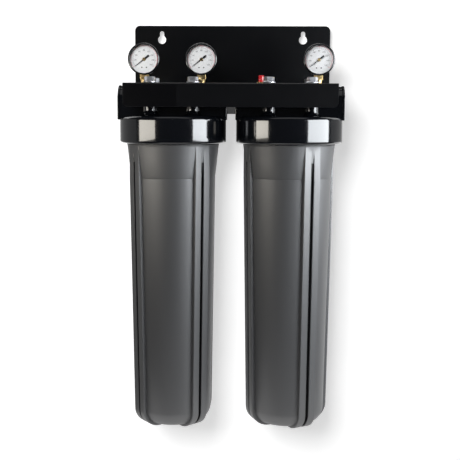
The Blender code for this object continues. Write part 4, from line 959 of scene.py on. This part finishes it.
# Studio: a white wall close behind the back plate and a pale floor. The key, a large soft box at the upper
# left, lights everything. One soft box on the left, two on the right and one overhead light the filter
# alone, and grey and black cards that only reflections see shape its gloss.
def stage_plane(name, size, matrix, finish):
    bm = bmesh.new()
    bmesh.ops.create_grid(bm, x_segments=1, y_segments=1, size=size, matrix=matrix)
    made = piece(name, bm, [finish])
    return made


def white_backdrop(name, grey, lift):
    """Matt white paper that camera, mirror and glass rays see a little lighter, and clear from behind."""
    paper = Finish(name, Base_Color=grey, Roughness=0.9, Specular_IOR_Level=0.0, Emission_Color=(1, 1, 1))
    camera_ray = paper.node("ShaderNodeLightPath", output="Is Camera Ray")
    seen = camera_ray + camera_ray.output("Is Glossy Ray") + camera_ray.output("Is Transmission Ray")
    paper.surface(Emission_Strength=seen * lift)
    front = Value(paper, paper.shader.outputs[0])
    behind = paper.node("ShaderNodeNewGeometry", output="Backfacing")
    clear = paper.node("ShaderNodeBsdfTransparent")
    paper.show(paper.node("ShaderNodeMixShader", None, {0: behind, 1: front, 2: clear}))
    return paper


wall_paper = white_backdrop("wall_paper", (0.80, 0.80, 0.80), 0.56)
floor_paper = white_backdrop("floor_paper", (0.70, 0.70, 0.70), 0.30)
wall = stage_plane("wall", 0.55, Matrix.Translation((0, 0.015, -0.32)) @ FRONT, wall_paper)
floor = stage_plane("floor", 0.45, Matrix.Translation((0, -0.42, -0.95)), floor_paper)
off_paper = bpy.data.collections.new("only_the_key_lights_these")
for paper in (wall, floor):
    off_paper.objects.link(paper)
for entry in off_paper.collection_objects:
    entry.light_linking.link_state = "EXCLUDE"


def round_the_filter(azimuth, distance, height):
    """A place at a height, so far from the row of heads; azimuth 0 is straight in front of them."""
    angle = math.radians(azimuth)
    return Vector((math.sin(angle) * distance, HEAD_Y - math.cos(angle) * distance, height))


def soft_box(name, place, target, width, height, power, colour=(1, 1, 1)):
    lamp = bpy.data.lights.new(name, "AREA")
    lamp.shape, lamp.size, lamp.size_y = "RECTANGLE", width, height
    lamp.energy, lamp.color = power, colour
    made = bpy.data.objects.new(name, lamp)
    aim = Vector(target) - Vector(place)
    made.matrix_world = Matrix.Translation(place) @ aim.to_track_quat("-Z", "Y").to_matrix().to_4x4()
    bpy.context.scene.collection.objects.link(made)
    return made


WARM, COOL = (1.0, 0.95, 0.86), (0.92, 0.96, 1.0)
filter_only = (
    soft_box("left_soft_box", round_the_filter(-54, 0.635, -0.16), target=(0.253, HEAD_Y, -0.16),
             width=0.36, height=0.15, power=1.36, colour=WARM),
    soft_box("right_soft_box", round_the_filter(64, 0.89, -0.04), target=(0, HEAD_Y, -0.04),
             width=0.75, height=0.50, power=14.0, colour=COOL),
    soft_box("low_right_soft_box", round_the_filter(64, 0.89, -0.65), target=(0, HEAD_Y, -0.65),
             width=0.75, height=0.66, power=0.9, colour=COOL),
    soft_box("overhead", (0, -0.5, 1.3), target=(0, -0.1, -0.1), width=1.6, height=1.2, power=2.5),
)
for lamp in filter_only:
    lamp.light_linking.receiver_collection = off_paper
key = soft_box("key", round_the_filter(-14, 2.1, 0.48), target=(0, HEAD_Y, -0.35), width=0.85, height=0.85,
               power=45)
key.visible_glossy = False


def card(name, grey, low, high):
    """An even grey card between two corners, which only reflections see: it lights nothing."""
    finish = Finish(name, Base_Color=(0, 0, 0), Roughness=1.0, Specular_IOR_Level=0.0,
                    Emission_Color=(1, 1, 1), Emission_Strength=grey)
    bm = bmesh.new()
    spans = [axis for axis in range(3) if low[axis] != high[axis]]
    corners = []
    for ends in ((low, low), (high, low), (high, high), (low, high)):
        corner = Vector(low)
        for axis, end in zip(spans, ends):
            corner[axis] = end[axis]
        corners.append(bm.verts.new(corner))
    bm.faces.new(corners)
    made = piece(name, bm, [finish])
    made.visible_camera = made.visible_diffuse = made.visible_shadow = made.visible_transmission = False


SIDE_X = 0.245
BACK_Y = 0.010
GAP_TOP = -0.115
card("left_card", 0.25, (-SIDE_X, -0.185, -0.72), (-SIDE_X, -0.03, GAP_TOP))
card("right_card", 0.28, (SIDE_X, -0.150, -0.19), (SIDE_X, -0.03, GAP_TOP))
for side, left, right in (("left", -0.30, -0.17), ("right", 0.17, 0.30)):
    card(f"{side}_back_card", 0.40, (left, BACK_Y, -0.20), (right, BACK_Y, -0.14))
    card(f"{side}_top_card", 0.05, (left, BACK_Y, -0.14), (right, BACK_Y, 0.15))
card("middle_back_card", 0.02, (-0.09, BACK_Y, -0.20), (0.09, BACK_Y, GAP_TOP))
card("foot_card", 0.9, (-0.40, -0.31, -0.706), (0.40, 0, -0.706))


class Surroundings(Finish):
    """The world under way: its Background shader, fed by nodes as a material's is."""

    def __init__(self, name):
        self.world = bpy.data.worlds.new(name)
        self.world.use_nodes = True
        self.tree = self.world.node_tree
        self.shader = self.tree.nodes["Background"]


# The camera sees white all round, and mirrors and glass see it towards the wall alone
studio = Surroundings("studio")
camera_ray = studio.node("ShaderNodeLightPath", output="Is Camera Ray")
mirrors = camera_ray.output("Is Glossy Ray") + camera_ray.output("Is Transmission Ray")
way = studio.node("ShaderNodeTexCoord", output="Generated")
depth = studio.node("ShaderNodeSeparateXYZ", None, {0: way}, output="Y")
behind = studio.node("ShaderNodeMapRange", None, {"Value": depth, "From Min": 0.4, "To Min": 0.0})
seen = studio.node("ShaderNodeMath", {"operation": "MULTIPLY_ADD", "use_clamp": True},
                   {0: mirrors, 1: behind, 2: camera_ray})
studio.surface(Color=(1, 1, 1), Strength=studio.node("ShaderNodeMix", None, {0: seen, 2: 0.02, 3: 1.0}))
bpy.context.scene.world = studio.world

CAMERA_PLACE = (0.02823, -1.7149, -0.1363)
CAMERA_PAN, CAMERA_PITCH, CAMERA_ROLL = 0.01814, math.pi / 2 - 0.1237, math.radians(0.27)
lens = bpy.data.cameras.new("camera")
lens.lens, lens.sensor_width = 72.2, 36
camera = bpy.data.objects.new("camera", lens)
camera.matrix_world = (Matrix.Translation(CAMERA_PLACE) @ Matrix.Rotation(CAMERA_PAN, 4, "Z")
                       @ Matrix.Rotation(CAMERA_PITCH, 4, "X") @ Matrix.Rotation(CAMERA_ROLL, 4, "Z"))
bpy.context.scene.collection.objects.link(camera)
bpy.context.scene.camera = camera
bpy.context.scene.view_settings.view_transform = "Standard"
